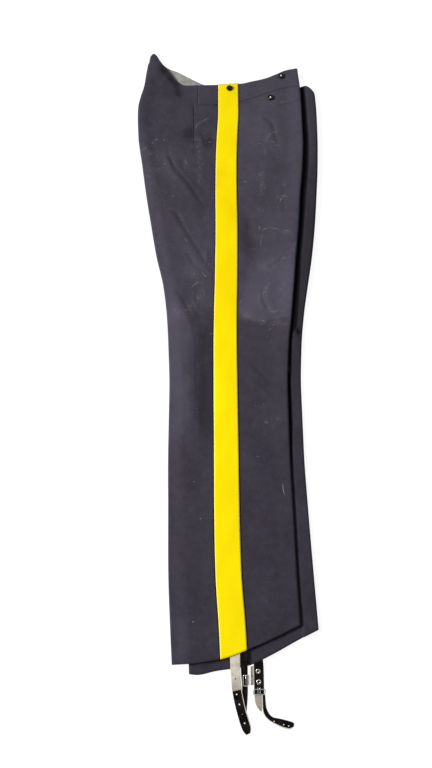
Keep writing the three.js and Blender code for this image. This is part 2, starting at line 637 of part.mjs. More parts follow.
const LEFT_STRAP_LINING = [
  { leftX: 56.6, leftY: -477.4, rightX: 61, rightY: -477, z: 3.4 },
  { leftX: 56.5, leftY: -491.8, rightX: 61.3, rightY: -491.8, z: 0 },
  { leftX: 56.2, leftY: -505, rightX: 61.3, rightY: -505, z: 0 },
];
const LEFT_KEEPER = [
  { leftX: 61.9, leftY: -519.5, rightX: 73.8, rightY: -519.5, z: 0 },
  { leftX: 62.9, leftY: -529.4, rightX: 73.8, rightY: -529.4, z: 0 },
  { leftX: 66.4, leftY: -537.5, rightX: 73.6, rightY: -535.5, z: 0 },
  { leftX: 72, leftY: -543.6, rightX: 73.6, rightY: -541, z: 0 },
];
const LEFT_BILLET = [
  { leftX: 74.3, leftY: -519.5, rightX: 79.2, rightY: -519.5, z: 0 },
  { leftX: 74.2, leftY: -536.5, rightX: 80.4, rightY: -535.8, z: 0 },
  { leftX: 75.1, leftY: -544.1, rightX: 82.7, rightY: -542.6, z: 0 },
  { leftX: 77.7, leftY: -549.4, rightX: 86, rightY: -547.7, z: 0 },
  { leftX: 85.8, leftY: -556.8, rightX: 92.8, rightY: -552, z: 0 },
  { leftX: 97.9, leftY: -562.8, rightX: 99.9, rightY: -553.1, z: 0 },
  { leftX: 106.7, leftY: -566.4, rightX: 109.5, rightY: -555.1, z: 0 },
  { leftX: 115.4, leftY: -568.1, rightX: 118.2, rightY: -557.3, z: 0 },
  { leftX: 121, leftY: -566.3, rightX: 123.3, rightY: -559.1, z: 0 },
];

function strapWall(rows, thick, lift) {
  const up = new THREE.Vector3(0, 0, 1);
  const lines = rows.flatMap((row, i) => {
    const next = rows[i + 1];
    if (!next) return [row];
    const middle = Object.fromEntries(Object.keys(row).map((key) => [key, (row[key] + next[key]) / 2]));
    return [row, middle];
  });
  const grid = lines.map((row) => spread(0, 1, 3).map((t) => ({
    point: new THREE.Vector3(
      row.leftX + (row.rightX - row.leftX) * t, row.leftY + (row.rightY - row.leftY) * t, row.z,
    ),
    normal: up,
  })));
  return wall(grid, lift, lift + thick);
}

// Solids with holes punched through them
function toSolid(geometry) {
  const bare = geometry.clone();
  bare.deleteAttribute('normal');
  bare.deleteAttribute('uv');
  const merged = mergeVertices(bare, 1e-4);
  return new wasm.Manifold(new wasm.Mesh({
    numProp: 3,
    vertProperties: new Float32Array(merged.attributes.position.array),
    triVerts: new Uint32Array(merged.index.array),
  }));
}

function fromSolid(solid) {
  const mesh = solid.getMesh();
  const geometry = new THREE.BufferGeometry();
  geometry.setAttribute('position', new THREE.Float32BufferAttribute(mesh.vertProperties, 3));
  geometry.setIndex([...mesh.triVerts]);
  return geometry;
}

const PUNCH_RADIUS = 1.5;
const PUNCH_LENGTH = 40;
function punch(geometry, places) {
  return fromSolid(places.reduce((solid, [x, y]) => {
    const cutter = new THREE.CylinderGeometry(PUNCH_RADIUS, PUNCH_RADIUS, PUNCH_LENGTH, 12);
    return solid.subtract(toSolid(cutter.rotateX(Math.PI / 2).translate(x, y, 0)));
  }, toSolid(geometry)));
}

// A buckle: a flat frame with square windows, each given by its corners
function frameGeometry(width, height, corner, windows) {
  const [right, top] = [width / 2, height / 2];
  const shape = new THREE.Shape();
  shape.moveTo(-right, 0);
  shape.absarc(corner - right, corner - top, corner, Math.PI, 1.5 * Math.PI);
  shape.absarc(right - corner, corner - top, corner, -Math.PI / 2, 0);
  shape.absarc(right - corner, top - corner, corner, 0, Math.PI / 2);
  shape.absarc(corner - right, top - corner, corner, Math.PI / 2, Math.PI);
  for (const { x, low, high } of windows) {
    const corners = [[-x, low], [-x, high], [x, high], [x, low]];
    const points = corners.map(([cornerX, cornerY]) => new THREE.Vector2(cornerX, cornerY));
    shape.holes.push(new THREE.Path(points));
  }
  const options = { depth: METAL_THICK, bevelEnabled: false, curveSegments: 4 };
  return new THREE.ExtrudeGeometry(shape, options);
}

// A hard piece lies on a strap, tilted to its slope, with its middle above a point of it. reach is how far
// the piece goes each way along the strap.
function strapHeight(table, y) {
  const i = table.findIndex((row) => (row.leftY + row.rightY) / 2 <= y);
  const [upper, lower] = [table[i - 1], table[i]];
  const upperY = (upper.leftY + upper.rightY) / 2;
  const lowerY = (lower.leftY + lower.rightY) / 2;
  return lower.z + ((upper.z - lower.z) * (y - lowerY)) / (upperY - lowerY);
}

function layOn(mesh, table, { x, y, reach }) {
  const low = strapHeight(table, y - reach);
  const high = strapHeight(table, y + reach);
  const slope = Math.atan2(high - low, 2 * reach);
  mesh.rotation.x = slope;
  mesh.position.set(x, y, (low + high) / 2 + (STRAP_THICK + SEAM) / Math.cos(slope));
}

const RIGHT_HOLES = [[33.1, -517.9], [37.4, -532.3], [41.2, -545.5], [45.3, -559.3]];
const RIGHT_LINING_HOLE = [31.7, -494.4];
const LEFT_HOLES = [[92.5, -557], [107.5, -561.5], [115.5, -563.5]];
const EYELETS = [
  { name: 'left_eyelet_upper', x: 68.3, y: -484.2, reach: 4 },
  { name: 'left_eyelet_lower', x: 69.2, y: -500, reach: 4 },
];
const EYELET = { inner: 1.7, outer: 4, thick: 0.9 };

// Right leg's straps: the pointed billet with its pale lining, and the short strap with the buckle
const billet = strapWall(RIGHT_BILLET, STRAP_THICK, 0);
add('right_billet', punch(billet, RIGHT_HOLES), BLACK_LEATHER);
const billetLining = strapWall(BILLET_LINING, LINING_THICK, STRAP_THICK + SEAM);
add('right_billet_lining', punch(billetLining, [RIGHT_LINING_HOLE]), PALE_LEATHER);
add('right_buckle_strap', strapWall(RIGHT_BUCKLE_STRAP, STRAP_THICK, 0), BLACK_LEATHER);
const rightFrame = frameGeometry(11, 19, 2.5, [{ x: 3.4, low: -7.6, high: 7.6 }]);
layOn(add('right_buckle', rightFrame, STEEL), RIGHT_BUCKLE_STRAP, { x: 48.3, y: -497.1, reach: 9.5 });

// Left leg's straps: the strap with two eyelets and the buckle, its pale edge, and the loose end
const eyeletStrap = strapWall(LEFT_BUCKLE_STRAP, STRAP_THICK, 0);
add('left_buckle_strap', punch(eyeletStrap, EYELETS.map(({ x, y }) => [x, y])), BLACK_LEATHER);
add('left_strap_lining', strapWall(LEFT_STRAP_LINING, STRAP_THICK, 0), PALE_LEATHER);
for (const { name, x, y, reach: half } of EYELETS) {
  const middle = (EYELET.inner + EYELET.outer) / 2;
  const reach = (EYELET.outer - EYELET.inner) / 2;
  const profile = spread(0, Math.PI, 6).map((angle) => (
    new THREE.Vector2(middle + reach * Math.cos(angle), EYELET.thick * Math.sin(angle))
  ));
  profile.push(profile[0].clone());
  const ring = new THREE.LatheGeometry(profile, 16).rotateX(Math.PI / 2);
  layOn(add(name, ring, STEEL), LEFT_BUCKLE_STRAP, { x, y, reach: half });
}
const leftFrame = frameGeometry(21, 9, 2, [{ x: 8.7, low: -2.8, high: 2.8 }]);
layOn(add('left_buckle', leftFrame, STEEL), LEFT_BUCKLE_STRAP, { x: 69.9, y: -514.5, reach: 4.5 });
add('left_keeper', strapWall(LEFT_KEEPER, STRAP_THICK, 0), PALE_LEATHER);
add('left_billet', punch(strapWall(LEFT_BILLET, STRAP_THICK, 0), LEFT_HOLES), BLACK_LEATHER);

export default trousers;
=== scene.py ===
"""Uniform trousers, folded in half and laid flat: cloth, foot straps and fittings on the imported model."""

import math
import random

import bmesh
import bpy
import numpy as np
from bpy.props import FloatProperty, FloatVectorProperty, PointerProperty
from mathutils import Matrix, Vector


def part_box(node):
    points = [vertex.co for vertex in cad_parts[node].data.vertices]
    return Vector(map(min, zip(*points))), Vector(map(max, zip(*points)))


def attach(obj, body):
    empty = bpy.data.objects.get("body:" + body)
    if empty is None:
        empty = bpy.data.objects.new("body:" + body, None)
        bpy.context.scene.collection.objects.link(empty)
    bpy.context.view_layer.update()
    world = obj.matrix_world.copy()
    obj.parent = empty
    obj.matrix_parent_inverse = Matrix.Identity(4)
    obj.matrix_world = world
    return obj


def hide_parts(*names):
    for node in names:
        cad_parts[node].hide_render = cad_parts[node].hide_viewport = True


bl_info = {
    "name": "Uniform trousers",
    "version": (1, 0, 0),
    "blender": (4, 5, 0),
    "location": "3D View > Sidebar > Trousers",
    "description": "Wool trousers with a yellow stripe, brace buttons and foot straps, laid flat",
    "category": "Add Mesh",
}

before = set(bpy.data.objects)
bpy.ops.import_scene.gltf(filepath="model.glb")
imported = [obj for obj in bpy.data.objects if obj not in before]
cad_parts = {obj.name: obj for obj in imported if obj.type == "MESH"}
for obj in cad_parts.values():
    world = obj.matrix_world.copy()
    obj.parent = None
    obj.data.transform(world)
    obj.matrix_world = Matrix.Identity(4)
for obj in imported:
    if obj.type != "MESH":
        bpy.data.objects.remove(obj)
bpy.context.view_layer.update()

# Sizes in millimetres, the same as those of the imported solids
MM = 0.001
CLOTH = 1.8
SEAM = 0.3
STRIPE_WIDTH = 44
STRIPE_THICK = 1.1
LINING_THICK = 1
STRAP_THICK = 1.8
SHEET_X = 25.365
SHEET_Y = 98.982
CLEAR = 0.7
OPEN_MID = 2.6
STRIPE_STEP = STRIPE_THICK + SEAM

# y, then the back crease, outseam and front crease of the right leg, and the same of the left leg
OUTLINE_NAMES = ("y", "back", "side", "front", "low_back", "low_side", "low_front")
OUTLINE = (
    (-490, -71, 30, 140, -44, 56, 172.5),
    (-421, -76, 27, 139.5, -47, 54, 170),
    (-328, -81.5, 21, 137, -53, 49, 166),
    (-229, -84, 19, 135, -57, 46, 162),
    (-123, -86.5, 18.5, 133, -61, 44, 159),
    (-12, -87, 18, 133.5, -63, 43, 159),
    (77, -91, 17.7, 138.5, -67, 42, 163.5),
    (139, -95.5, 18.3, 146, -71, 43, 170.5),
    (202, -104, 19.8, 153, -79, 45, 181),
    (268, -119.5, 20.8, 160, -94, 47, 192.5),
    (336, -132, 21.5, 168, -107, 49, 201.5),
    (407, -144.5, 21, 174, -122, 49, 208.5),
    (480, -155.5, 21.5, 182, -137, 50, 214.5),
    (555, -166.5, 24, 186, -152, 52, 218),
    (621, -169.5, 27, 186, -163, 54, 219),
    (685, -158.5, 27, 185, -160, 54, 217),
    (731, -152.5, 27, 182, -156, 54, 213),
    (775, -147, 27, 182, -150, 54, 213),
)
HEM_RIGHT = ((-80, -475), (-71, -474.4), (7, -464.7), (52, -450.3), (96.5, -432.5), (140, -412.8))
HEM_LEFT = (
    (-44, -488), (-31, -489.4), (0, -483.6), (50, -476.3), (88, -461), (139, -435.8), (169, -421.9),
)
TOP_RIGHT = (
    (-154, 752), (-147.5, 766), (-139.5, 774), (-133, 768), (-125.5, 755), (-105, 726.5), (-91, 706.5),
    (-80, 696), (-68, 692), (-40, 692.5), (51, 695), (80, 702), (111, 709), (133, 718), (156, 728.5),
    (182, 731.5),
)
TOP_LEFT = (
    (-157, 742), (-150, 757), (-143, 766), (-130, 762), (-105, 741), (-90, 734.5), (-78, 727.5), (-46.5, 708),
    (-24, 696), (6, 681), (50, 670), (90, 669), (130, 675), (170, 685), (188, 689), (198, 687.5),
    (207, 681), (215, 669), (219, 658),
)
BAND_SEAM_RIGHT = (
    (-46, 639), (4, 638.6), (50, 644.8), (74, 653.5), (101, 663.5), (130, 673), (159, 681.7),
    (182, 681.7),
)
BAND_DEPTH_LEFT = 46
BAND_START = {"right": -40.3, "left": -14}
LEFT_CORNER = 188

SOFT_NAMES = ("y", "loop_front", "loop_back", "low_loop_back", "ridge", "groove", "open", "low_open")
SOFT = (
    (-490, 6, 6, 5, 8.5, 1.5, 3.2, 2.6),
    (-430, 6, 6, 5, 8.5, 1.5, 3.2, 2.6),
    (-340, 5.5, 6, 4, 7, 2, 2.2, 0.6),
    (-100, 6, 6.5, 4, 7, 3, 2.2, 0.6),
    (60, 6.5, 7, 4, 8, 4, 2.6, 0.6),
    (200, 8, 8, 4.5, 10, 8.5, 3.2, 0.6),
    (380, 9.5, 9.5, 5, 12, 10, 3.4, 0.6),
    (520, 10.5, 10, 5, 13, 11, 3.2, 0.6),
    (640, 9.5, 9, 4.5, 12, 11, 2.8, 0.6),
    (700, 8, 7, 4, 10, 10, 2.6, 0.6),
    (780, 7, 5, 3.5, 9, 9, 2.6, 0.6),
)
FORK_Y = 380
INSEAM_X = 34
FORK_NAMES = ("y", "centre_front", "centre_back")
FORK = (
    (380, 34.2, 33.8), (400, 62, -22), (430, 95, -62), (480, 122, -96), (560, 138, -124),
    (640, 142, -134), (700, 143, -134), (780, 143, -130),
)

# The solids' own large folds: both ends, width and height
FOLDS = (
    (-108, 492, -30, 392, 15, 1.7),
    (-92, 512, -12, 404, 13, -1.5),
    (-96, 362, -16, 222, 18, 1.5),
    (-76, 372, 0, 242, 15, -1.3),
    (-96, 196, -48, 122, 17, 1.8),
    (-50, 112, -44, -70, 16, 1.5),
    (-62, 186, -22, 128, 13, -1.6),
    (-20, 112, -16, -90, 13, -1.5),
    (92, 622, 122, 545, 14, 1.2),
    (62, 372, 62, 296, 15, -1.4),
    (88, 238, 146, 270, 13, 1.3),
)

# Finer creases of the upper leg: points along the crease, width and height
CREASES = (
    (((-104, 532), (-99, 503), (-85, 471), (-57, 436), (-33, 395), (-16, 368)), 4.5, -1.8),
    (((-110, 525), (-106, 498), (-92, 462), (-64, 427), (-40, 386)), 6, 1.4),
    (((-72, 500), (-67, 475)), 5, -1.6),
    (((-99, 377), (-80, 364), (-64, 337)), 4, -1.1),
    (((-86, 369), (-44, 295), (-4, 226)), 4.5, -1.4),
    (((-60, 279), (-42, 246), (-14, 224)), 4, -1.3),
    (((-18.6, 282), (-18.4, 244)), 4, 1.3),
    (((-90, 207), (-61, 168), (-43, 122), (-35, 79), (-34, 27), (-31, -66)), 5, -1.3),
    (((-49, 179), (-36, 151), (-10, 135)), 4, 1.4),
    (((95, 614), (123, 586), (127, 553), (135, 520)), 4, -1.6),
    (((67, 359), (66, 302)), 9, -1.4),
    (((134, 270), (113, 250), (89, 238)), 4.5, 1.6),
    (((88, 187), (85, 166), (95, 149)), 4, 1.3),
    (((46, 139), (92, 136), (137, 139)), 9, 1.3),
    (((64, 41), (106, 2)), 4, -1.1),
    (((58, 12), (105, -29)), 4.5, 1.1),
    (((-32, 573), (-17, 522)), 4, -1.6),
    (((-36, 573), (-32, 589), (-7, 603)), 4, 1.4),
)

# The seat dart, a soft valley in the back panel
DART = {
    "x": -49.2, "low": 536, "low_fade": 20, "high": 645, "high_fade": 4, "width": 3.6, "depth": 0.9,
}


def curve(points):
    """A smooth curve through points (x, y), flat past its ends."""
    xs = np.array([float(point[0]) for point in points])
    ys = np.array([float(point[1]) for point in points])
    steep = np.diff(ys) / np.diff(xs)
    product = steep[:-1] * steep[1:]
    total = steep[:-1] + steep[1:]
    middle = np.where(product > 0, 2 * product / np.where(product > 0, total, 1), 0)
    slopes = np.concatenate(([steep[0]], middle, [steep[-1]]))

    def at(x):
        inside = np.clip(np.asarray(x, float), xs[0], xs[-1])
        i = np.clip(np.searchsorted(xs, inside, side="right") - 1, 0, len(xs) - 2)
        h = xs[i + 1] - xs[i]
        t = (inside - xs[i]) / h
        low = ys[i] * (1 + 2 * t) * (1 - t) ** 2 + slopes[i] * h * t * (1 - t) ** 2
        high = ys[i + 1] * t * t * (3 - 2 * t) + slopes[i + 1] * h * t * t * (t - 1)
        return low + high

    return at


def named_curves(names, rows):
    """A curve over y for each named column of a table."""
    return {name: curve([(row[0], row[i]) for row in rows]) for i, name in enumerate(names) if i}


def smooth(t):
    s = np.clip(t, 0, 1)
    return s * s * (3 - 2 * s)


outline = named_curves(OUTLINE_NAMES, OUTLINE)
soft = named_curves(SOFT_NAMES, SOFT)
fork = named_curves(FORK_NAMES, FORK)
hem_right = curve(HEM_RIGHT)
hem_left = curve(HEM_LEFT)
top_right = curve(TOP_RIGHT)
top_left = curve(TOP_LEFT)
seam_right = curve(BAND_SEAM_RIGHT)


def seam_left(x):
    return top_left(np.clip(x, BAND_START["left"], LEFT_CORNER)) - BAND_DEPTH_LEFT


def inner_edge(front, y):
    """The inseam, or above the fork the centre seam."""
    low = INSEAM_X + (SEAM / 2 if front else -SEAM / 2)
    return np.where(y <= FORK_Y, low, fork["centre_front" if front else "centre_back"](y))


FADE = 60
SINK_STEPS = (0, 30, 60, 90, 120, 150)


def layers(x, y):
    front = smooth((x - inner_edge(True, y) + FADE) / FADE)
    back = smooth((inner_edge(False, y) + FADE - x) / FADE)
    return np.where(y <= FORK_Y, 1, np.maximum(front, back))


def lying_layers(x, y):
    return sum(layers(x, y - step) for step in SINK_STEPS) / len(SINK_STEPS)


STEP_RUN = 9
SOFT_RUN = 60


def stripe_step(x, y, run):
    past = np.abs(x - outline["low_side"](y)) - STRIPE_WIDTH / 2
    return STRIPE_STEP * (1 - smooth(past / run))


def left_outer(x, y):
    return CLOTH / 2 + stripe_step(x, y, STEP_RUN)


LOW_LOOP_RUN = 40


def left_inner_flat(x, y):
    back = smooth((outline["low_back"](y) + LOW_LOOP_RUN - x) / LOW_LOOP_RUN)
    space = soft["low_open"](y)
    extra = np.maximum(soft["low_loop_back"](y) - CLOTH - space, 0) * back
    return CLOTH / 2 + stripe_step(x, y, SOFT_RUN) + CLOTH + space + extra


RIDGE_START = 0.5
RIDGE_RISE = 5


def left_inner(x, y):
    foot = outline["front"](y) + RIDGE_START
    rise = smooth((x - foot) / (soft["groove"](y) + RIDGE_RISE))
    low = left_inner_flat(x, y)
    return low + (np.maximum(soft["ridge"](y) - CLOTH / 2, low) - low) * rise


DROP_START = 4
DROP_RUN = 32


def right_inner(x, y):
    edge = outline["low_back"](y)
    over = left_inner_flat(np.maximum(x, edge), y) + CLOTH + CLEAR
    return over + (CLOTH / 2 - over) * smooth((edge + DROP_START - x) / DROP_RUN)


FOLD_FADE = 0.34
FOLD_PAST = 0.12


def fold_height(x, y):
    height = 0
    for x0, y0, x1, y1, width, rise in FOLDS:
        dx, dy = x1 - x0, y1 - y0
        length = math.hypot(dx, dy)
        along = ((x - x0) * dx + (y - y0) * dy) / length**2
        across = ((x - x0) * dy - (y - y0) * dx) / length
        ends = smooth((along + FOLD_PAST) / FOLD_FADE) * smooth((1 + FOLD_PAST - along) / FOLD_FADE)
        height = height + rise * ends * np.exp(-((across / width) ** 2))
    return height


def path_distance(x, y, path):
    """The distance from the nearest point of a path, that point's share of the way along it, and on which
    side of the path a place is, 1 or -1."""
    ends = [np.array(point, float) for point in path]
    lengths = [float(np.linalg.norm(b - a)) for a, b in zip(ends, ends[1:])]
    total = sum(lengths)
    nearest = np.full(np.shape(x), 1e9)
    share = np.zeros(np.shape(x))
    side = np.ones(np.shape(x))
    passed = 0.0
    for a, b, length in zip(ends, ends[1:], lengths):
        way = (b - a) / length
        along = np.clip((x - a[0]) * way[0] + (y - a[1]) * way[1], 0, length)
        distance = np.hypot(x - a[0] - along * way[0], y - a[1] - along * way[1])
        closer = distance < nearest
        nearest = np.where(closer, distance, nearest)
        share = np.where(closer, (passed + along) / total, share)
        turned = (x - a[0]) * way[1] - (y - a[1]) * way[0]
        side = np.where(closer, np.where(turned < 0, -1, 1), side)
        passed += length
    return nearest, share, side


CREASE_PAST = 0.06
CREASE_FADE = 0.3


def crease_height(x, y):
    """Fine creases, each fading out at both ends, and the dart."""
    height = 0
    for path, width, rise in CREASES:
        distance, share, _ = path_distance(x, y, path)
        starting = smooth((share + CREASE_PAST) / CREASE_FADE)
        ends = starting * smooth((1 + CREASE_PAST - share) / CREASE_FADE)
        height = height + rise * ends * np.exp(-((distance / width) ** 2))
    inside = smooth((y - DART["low"]) / DART["low_fade"]) * smooth((DART["high"] - y) / DART["high_fade"])
    return height - DART["depth"] * inside * np.exp(-(((x - DART["x"]) / DART["width"]) ** 2))


# The cloth's slow unevenness: the lengths in x and y of each wave, its shift and its height
WAVES = ((71, 190, 0.4, 0.22), (118, 93, 2.1, 0.18), (-54, 131, 4.0, 0.14), (38, -77, 1.2, 0.09))


def uneven_height(x, y):
    return sum(
        rise * np.sin(x / run_x * 2 * np.pi + y / run_y * 2 * np.pi + shift)
        for run_x, run_y, shift, rise in WAVES
    )


LOOP_RUN = 34
FOLD_MARGIN = 30
LEAST_SPACE = 0.3


def right_outer(x, y):
    inner = right_inner(x, y)
    single = CLOTH / 2 + stripe_step(x, y, SOFT_RUN) + CLOTH + OPEN_MID
    flat = inner + CLOTH + soft["open"](y)
    lying = single + (flat - single) * lying_layers(x, y)
    to_front = smooth((x - outline["front"](y) + LOOP_RUN) / LOOP_RUN)
    to_back = smooth((outline["back"](y) + LOOP_RUN - x) / LOOP_RUN)
    front = (inner + soft["loop_front"](y) - lying) * to_front
    back = (inner + soft["loop_back"](y) - lying) * to_back
    edge = np.minimum(x - outline["back"](y), outline["front"](y) - x)
    margin = smooth(edge / FOLD_MARGIN)
    folds = fold_height(x, y) + crease_height(x, y) + uneven_height(x, y)
    return lying + front + back + np.maximum(folds, LEAST_SPACE - soft["open"](y)) * margin


# Each half's walls and edges. bulge is how far a crease's round end reaches past the walls.
HALVES = {
    "right": {
        "outer": right_outer, "inner": right_inner, "front": outline["front"],
        "back": outline["back"], "side": outline["side"], "bulge": 3.2,
    },
    "left": {
        "outer": left_outer, "inner": left_inner, "front": outline["low_front"],
        "back": outline["low_back"], "side": outline["low_side"], "bulge": 4,
    },
}


def turn_place(half, front, y):
    """Where a panel's walls end and the round end of its crease starts."""
    way = 1 if front else -1
    return half["front" if front else "back"](y) - way * (CLOTH / 2 + half["bulge"])


def column_x(half, front, column, y):
    zone, place = column
    turn_x = turn_place(half, front, y)
    if zone == "turn":
        return turn_x + (1 if front else -1) * half["bulge"] * math.sin(place)
    return place(y, turn_x, inner_edge(front, y))


def column_height(half, front, column, x, y):
    zone, place = column
    if zone != "turn":
        return half[zone](x, y)
    turn_x = turn_place(half, front, y)
    outer, inner = half["outer"](turn_x, y), half["inner"](turn_x, y)
    return (outer + inner) / 2 + (outer - inner) / 2 * math.cos(place)


TURNS = 30
TURN_SHARE = 0.7


def panel_grid(half, front, columns, row_shares, row_y):
    """An array of points, [row, column, xyz]. Each point's y is settled in several turns."""
    lines = []
    for column, top in columns:
        y = row_y(row_shares, half["side"](0.0), top)
        for _ in range(TURNS):
            x = column_x(half, front, column, y)
            y = y + (row_y(row_shares, x, top) - y) * TURN_SHARE
        x = column_x(half, front, column, y)
        lines.append(np.stack([x, y, column_height(half, front, column, x, y)], axis=-1))
    return np.stack(lines, axis=1)


def rows_above(edge):
    """The rows between a lower edge and a column's top."""

    def row_y(share, x, top):
        low = edge(x)
        return low + (top(x) - low) * share

    return row_y


def outer_columns(start, end, count, top):
    """Columns of the outer wall. start and end take y and the crease's turn."""
    return [
        (("outer", lambda y, turn, edge, s=share: start(y, turn) + (end(y, turn) - start(y, turn)) * s), top)
        for share in np.linspace(0, 1, count)
    ]


def turn_columns(count, top):
    return [(("turn", angle), top) for angle in np.linspace(0, math.pi, count + 1)[1:-1]]


def inner_columns(count, top):
    return [
        (("inner", lambda y, turn, edge, s=share: turn + (edge - turn) * s), top)
        for share in np.linspace(0, 1, count) ** INNER_POWER
    ]


RIDGE_COUNT = 16
UNDER_COUNT = 14
INNER_POWER = 1.4
UNDER_POWER = 1.5


def ridge_columns(top):
    """Columns of the left front's inner wall, close together where it shows beside the right leg."""

    def foot(y):
        return outline["front"](y) + RIDGE_START

    shown = [
        (("inner", lambda y, turn, edge, s=share: turn + (foot(y) - turn) * s), top)
        for share in np.linspace(0, 1, RIDGE_COUNT)
    ]
    under = [
        (("inner", lambda y, turn, edge, s=share: foot(y) + (edge - foot(y)) * s), top)
        for share in np.linspace(0, 1, UNDER_COUNT + 1)[1:] ** UNDER_POWER
    ]
    return shown + under


def lower(edge):
    return lambda x: edge(x) - SEAM / 2


def higher(edge):
    return lambda x: edge(x) + SEAM / 2


# How many columns and rows the parts of a half have
OUTER_COUNT = {"right": 64, "left": 40}
LEG_ROWS = {"right": 360, "left": 220}
BAND_ROWS = 16
PEAK_ROWS = 28
BESIDE_BAND = 24
BACK_MORE = 4
BAND_MORE = 10
TURN_COUNT = 12
INNER_COUNT = 16


def half_grids(side, hem, seam, top):
    """The grids of a half's front, back and waistband."""
    half = HALVES[side]
    start = BAND_START[side]
    count = OUTER_COUNT[side]
    legs = np.linspace(0, 1, LEG_ROWS[side])
    under_band = lower(seam)

    def past_seam(offset):
        return lambda y, turn: half["side"](y) + offset

    def crease(y, turn):
        return turn

    front_inner = ridge_columns if side == "left" else lambda edge: inner_columns(INNER_COUNT, edge)
    front = outer_columns(past_seam(SEAM / 2), crease, count, under_band)
    front += turn_columns(TURN_COUNT, under_band) + front_inner(under_band)

    def band_end(offset):
        return lambda y, turn: start + offset + 0 * y

    back = outer_columns(past_seam(-SEAM / 2), band_end(SEAM / 2), BESIDE_BAND, under_band)
    back += outer_columns(band_end(-SEAM / 2), crease, count - BESIDE_BAND + BACK_MORE, under_band)
    back += turn_columns(TURN_COUNT, under_band) + inner_columns(INNER_COUNT, under_band)
    peak = [(column, top) for column, _edge in back]

    band = outer_columns(band_end(SEAM / 2), crease, count + BAND_MORE, top)
    band += turn_columns(TURN_COUNT, top) + front_inner(top)
    rows = np.linspace(0, 1, BAND_ROWS)
    leg_back = panel_grid(half, False, back, legs, rows_above(hem))
    high_back = panel_grid(half, False, peak, np.linspace(0, 1, PEAK_ROWS), rows_above(under_band))
    return {
        "front": (panel_grid(half, True, front, legs, rows_above(hem)), turned_share(front)),
        "back": (np.concatenate([leg_back, high_back[1:]], axis=0), turned_share(back)),
        "waistband": (panel_grid(half, True, band, rows, rows_above(higher(seam))), turned_share(band)),
    }


def turned_share(columns):
    """How far round its crease each column is, from 0 on the outer wall to 1 on the inner wall."""
    places = {"outer": 0, "inner": 1}
    return np.array([places[zone] if zone in places else place / math.pi for (zone, place), _ in columns])


# How pale the wool is up the legs, from dark (0) to worn (1): left and right of the stripe, and on the leg
# beneath, whose dip between y 0 and 450 is painted shade of the leg above
TONE_NAMES = ("y", "left", "right", "under")
TONES = (
    (-490, 0.20, 0.18, 0.18), (-420, 0.23, 0.19, 0.20), (-250, 0.28, 0.25, 0.22), (-60, 0.34, 0.28, 0.18),
    (60, 0.46, 0.30, 0.08), (120, 0.50, 0.42, 0.02), (200, 0.52, 0.60, 0.02), (300, 0.50, 0.55, 0.05),
    (400, 0.42, 0.58, 0.10), (500, 0.40, 0.62, 0.25), (600, 0.36, 0.70, 0.32), (700, 0.44, 0.68, 0.32),
)

# Patches of another tone: the place and the softness of each patch's left, right, lower and upper edge, and
# how much paler it is
PATCHES = (
    (52, 26, 158, 12, 128, 5, 262, 80, 0.42),
    (-92, 24, -52, 34, -110, 70, 160, 60, 0.28),
    (-140, 12, -66, 16, 652, 24, 820, 10, -0.14),
)

# Round patches: the middle, the reach across and up, and how much paler each is. The first two are painted
# shade in the folds by the dart, and the first stops at the dart.
SPOTS = (
    (-58, 563, 14, 16, -0.5), (-20, 541, 9, 19, -0.42), (62, 275, 15, 70, -0.42), (-30, 430, 26, 60, -0.14),
    (120, 330, 30, 50, 0.16), (-140, 430, 14, 60, 0.12), (-96, 470, 26, 40, 0.12), (110, 560, 30, 50, 0.10),
    (-46, 232, 26, 20, 0.14), (84, 170, 34, 20, 0.10), (-60, -20, 14, 60, 0.10), (110, -60, 22, 60, 0.10),
)

# Soft strokes of dust, or of painted shade where the amount is below 0: half width, amount, and the path
STROKES = (
    (5, -0.55, ((-122, 738), (-104, 712), (-90, 694), (-84, 668))),
    (5, -0.30, ((-178, 640), (-182, 600), (-180, 560))),
    (3.5, 0.5, ((104, 496), (106, 540), (118, 562), (131, 566))),
    (3, 0.4, ((118, 540), (142, 520))),
    (4, 0.5, ((92, 405), (95, 460), (99, 440), (99, 424))),
    (4, 0.5, ((141, 437), (143, 405), (124, 400))),
    (4, 0.6, ((91, 325), (108, 332), (130, 323), (146, 320))),
    (7, 0.6, ((98, 236), (123, 246), (142, 265), (160, 290))),
    (5, 0.6, ((101, 206), (95, 177), (106, 148), (122, 136))),
    (7, 0.55, ((50, 147), (68, 131), (100, 121), (137, 124), (158, 132))),
    (24, 0.24, ((128, 236), (126, 150))),
    (9, 0.3, ((-160, 520), (-128, 500), (-104, 506))),
    (6, 0.4, ((-38, 545), (-36, 500), (-34, 420))),
    (8, 0.3, ((-52, 235), (-30, 200), (-27, 172))),
    (6, 0.35, ((-40, 165), (-60, 140), (-84, 150))),
    (9, 0.2, ((-150, 470), (-120, 420), (-96, 360))),
)

# The dark patch beside the stripe stops at this line, given as (y, x), and fades out below
BOUNDARY = ((-80, -31), (-68, -31), (87, -36), (128, -46), (155, -60), (177, -95))
BOUNDARY_PATCH = {
    "soft": 5, "side_soft": 10, "top": 142, "top_soft": 60, "low": -90, "low_soft": 150, "amount": -0.38,
}

# Painted shade, near black, mostly at the peak: the middle and the reach of each, and how dark it is
SHADES = (
    (-118, 728, 9, 13, 0.6), (-100, 706, 8, 8, 0.65), (-88, 694, 8, 6, 0.45), (-84, 672, 6, 15, 0.3),
    (-12, 540, 7, 14, 0.35),
)

# Thin lines of painted shade, along seams and pressed edges, and how dark each is
LINES = (
    (((-49.7, 634), (-48.8, 594), (-47.7, 535)), 0.85),
    (((-39.2, 638.8), (4, 638.6)), 0.8),
    (((50, 644.8), (74, 653.5), (101, 663.5), (130, 673), (159, 681.7), (180, 681.7)), 0.4),
    (((52.4, 640.7), (69.9, 643.9)), 0.35),
    (((137.3, 634), (185.7, 645.5)), 0.35),
)

# The lines of painted shade along the stripe: how far each is from the outseam, and how dark
STRIPE_LINES = ((-23.2, 0.95), (23.1, 0.85))
FAR = 50.0
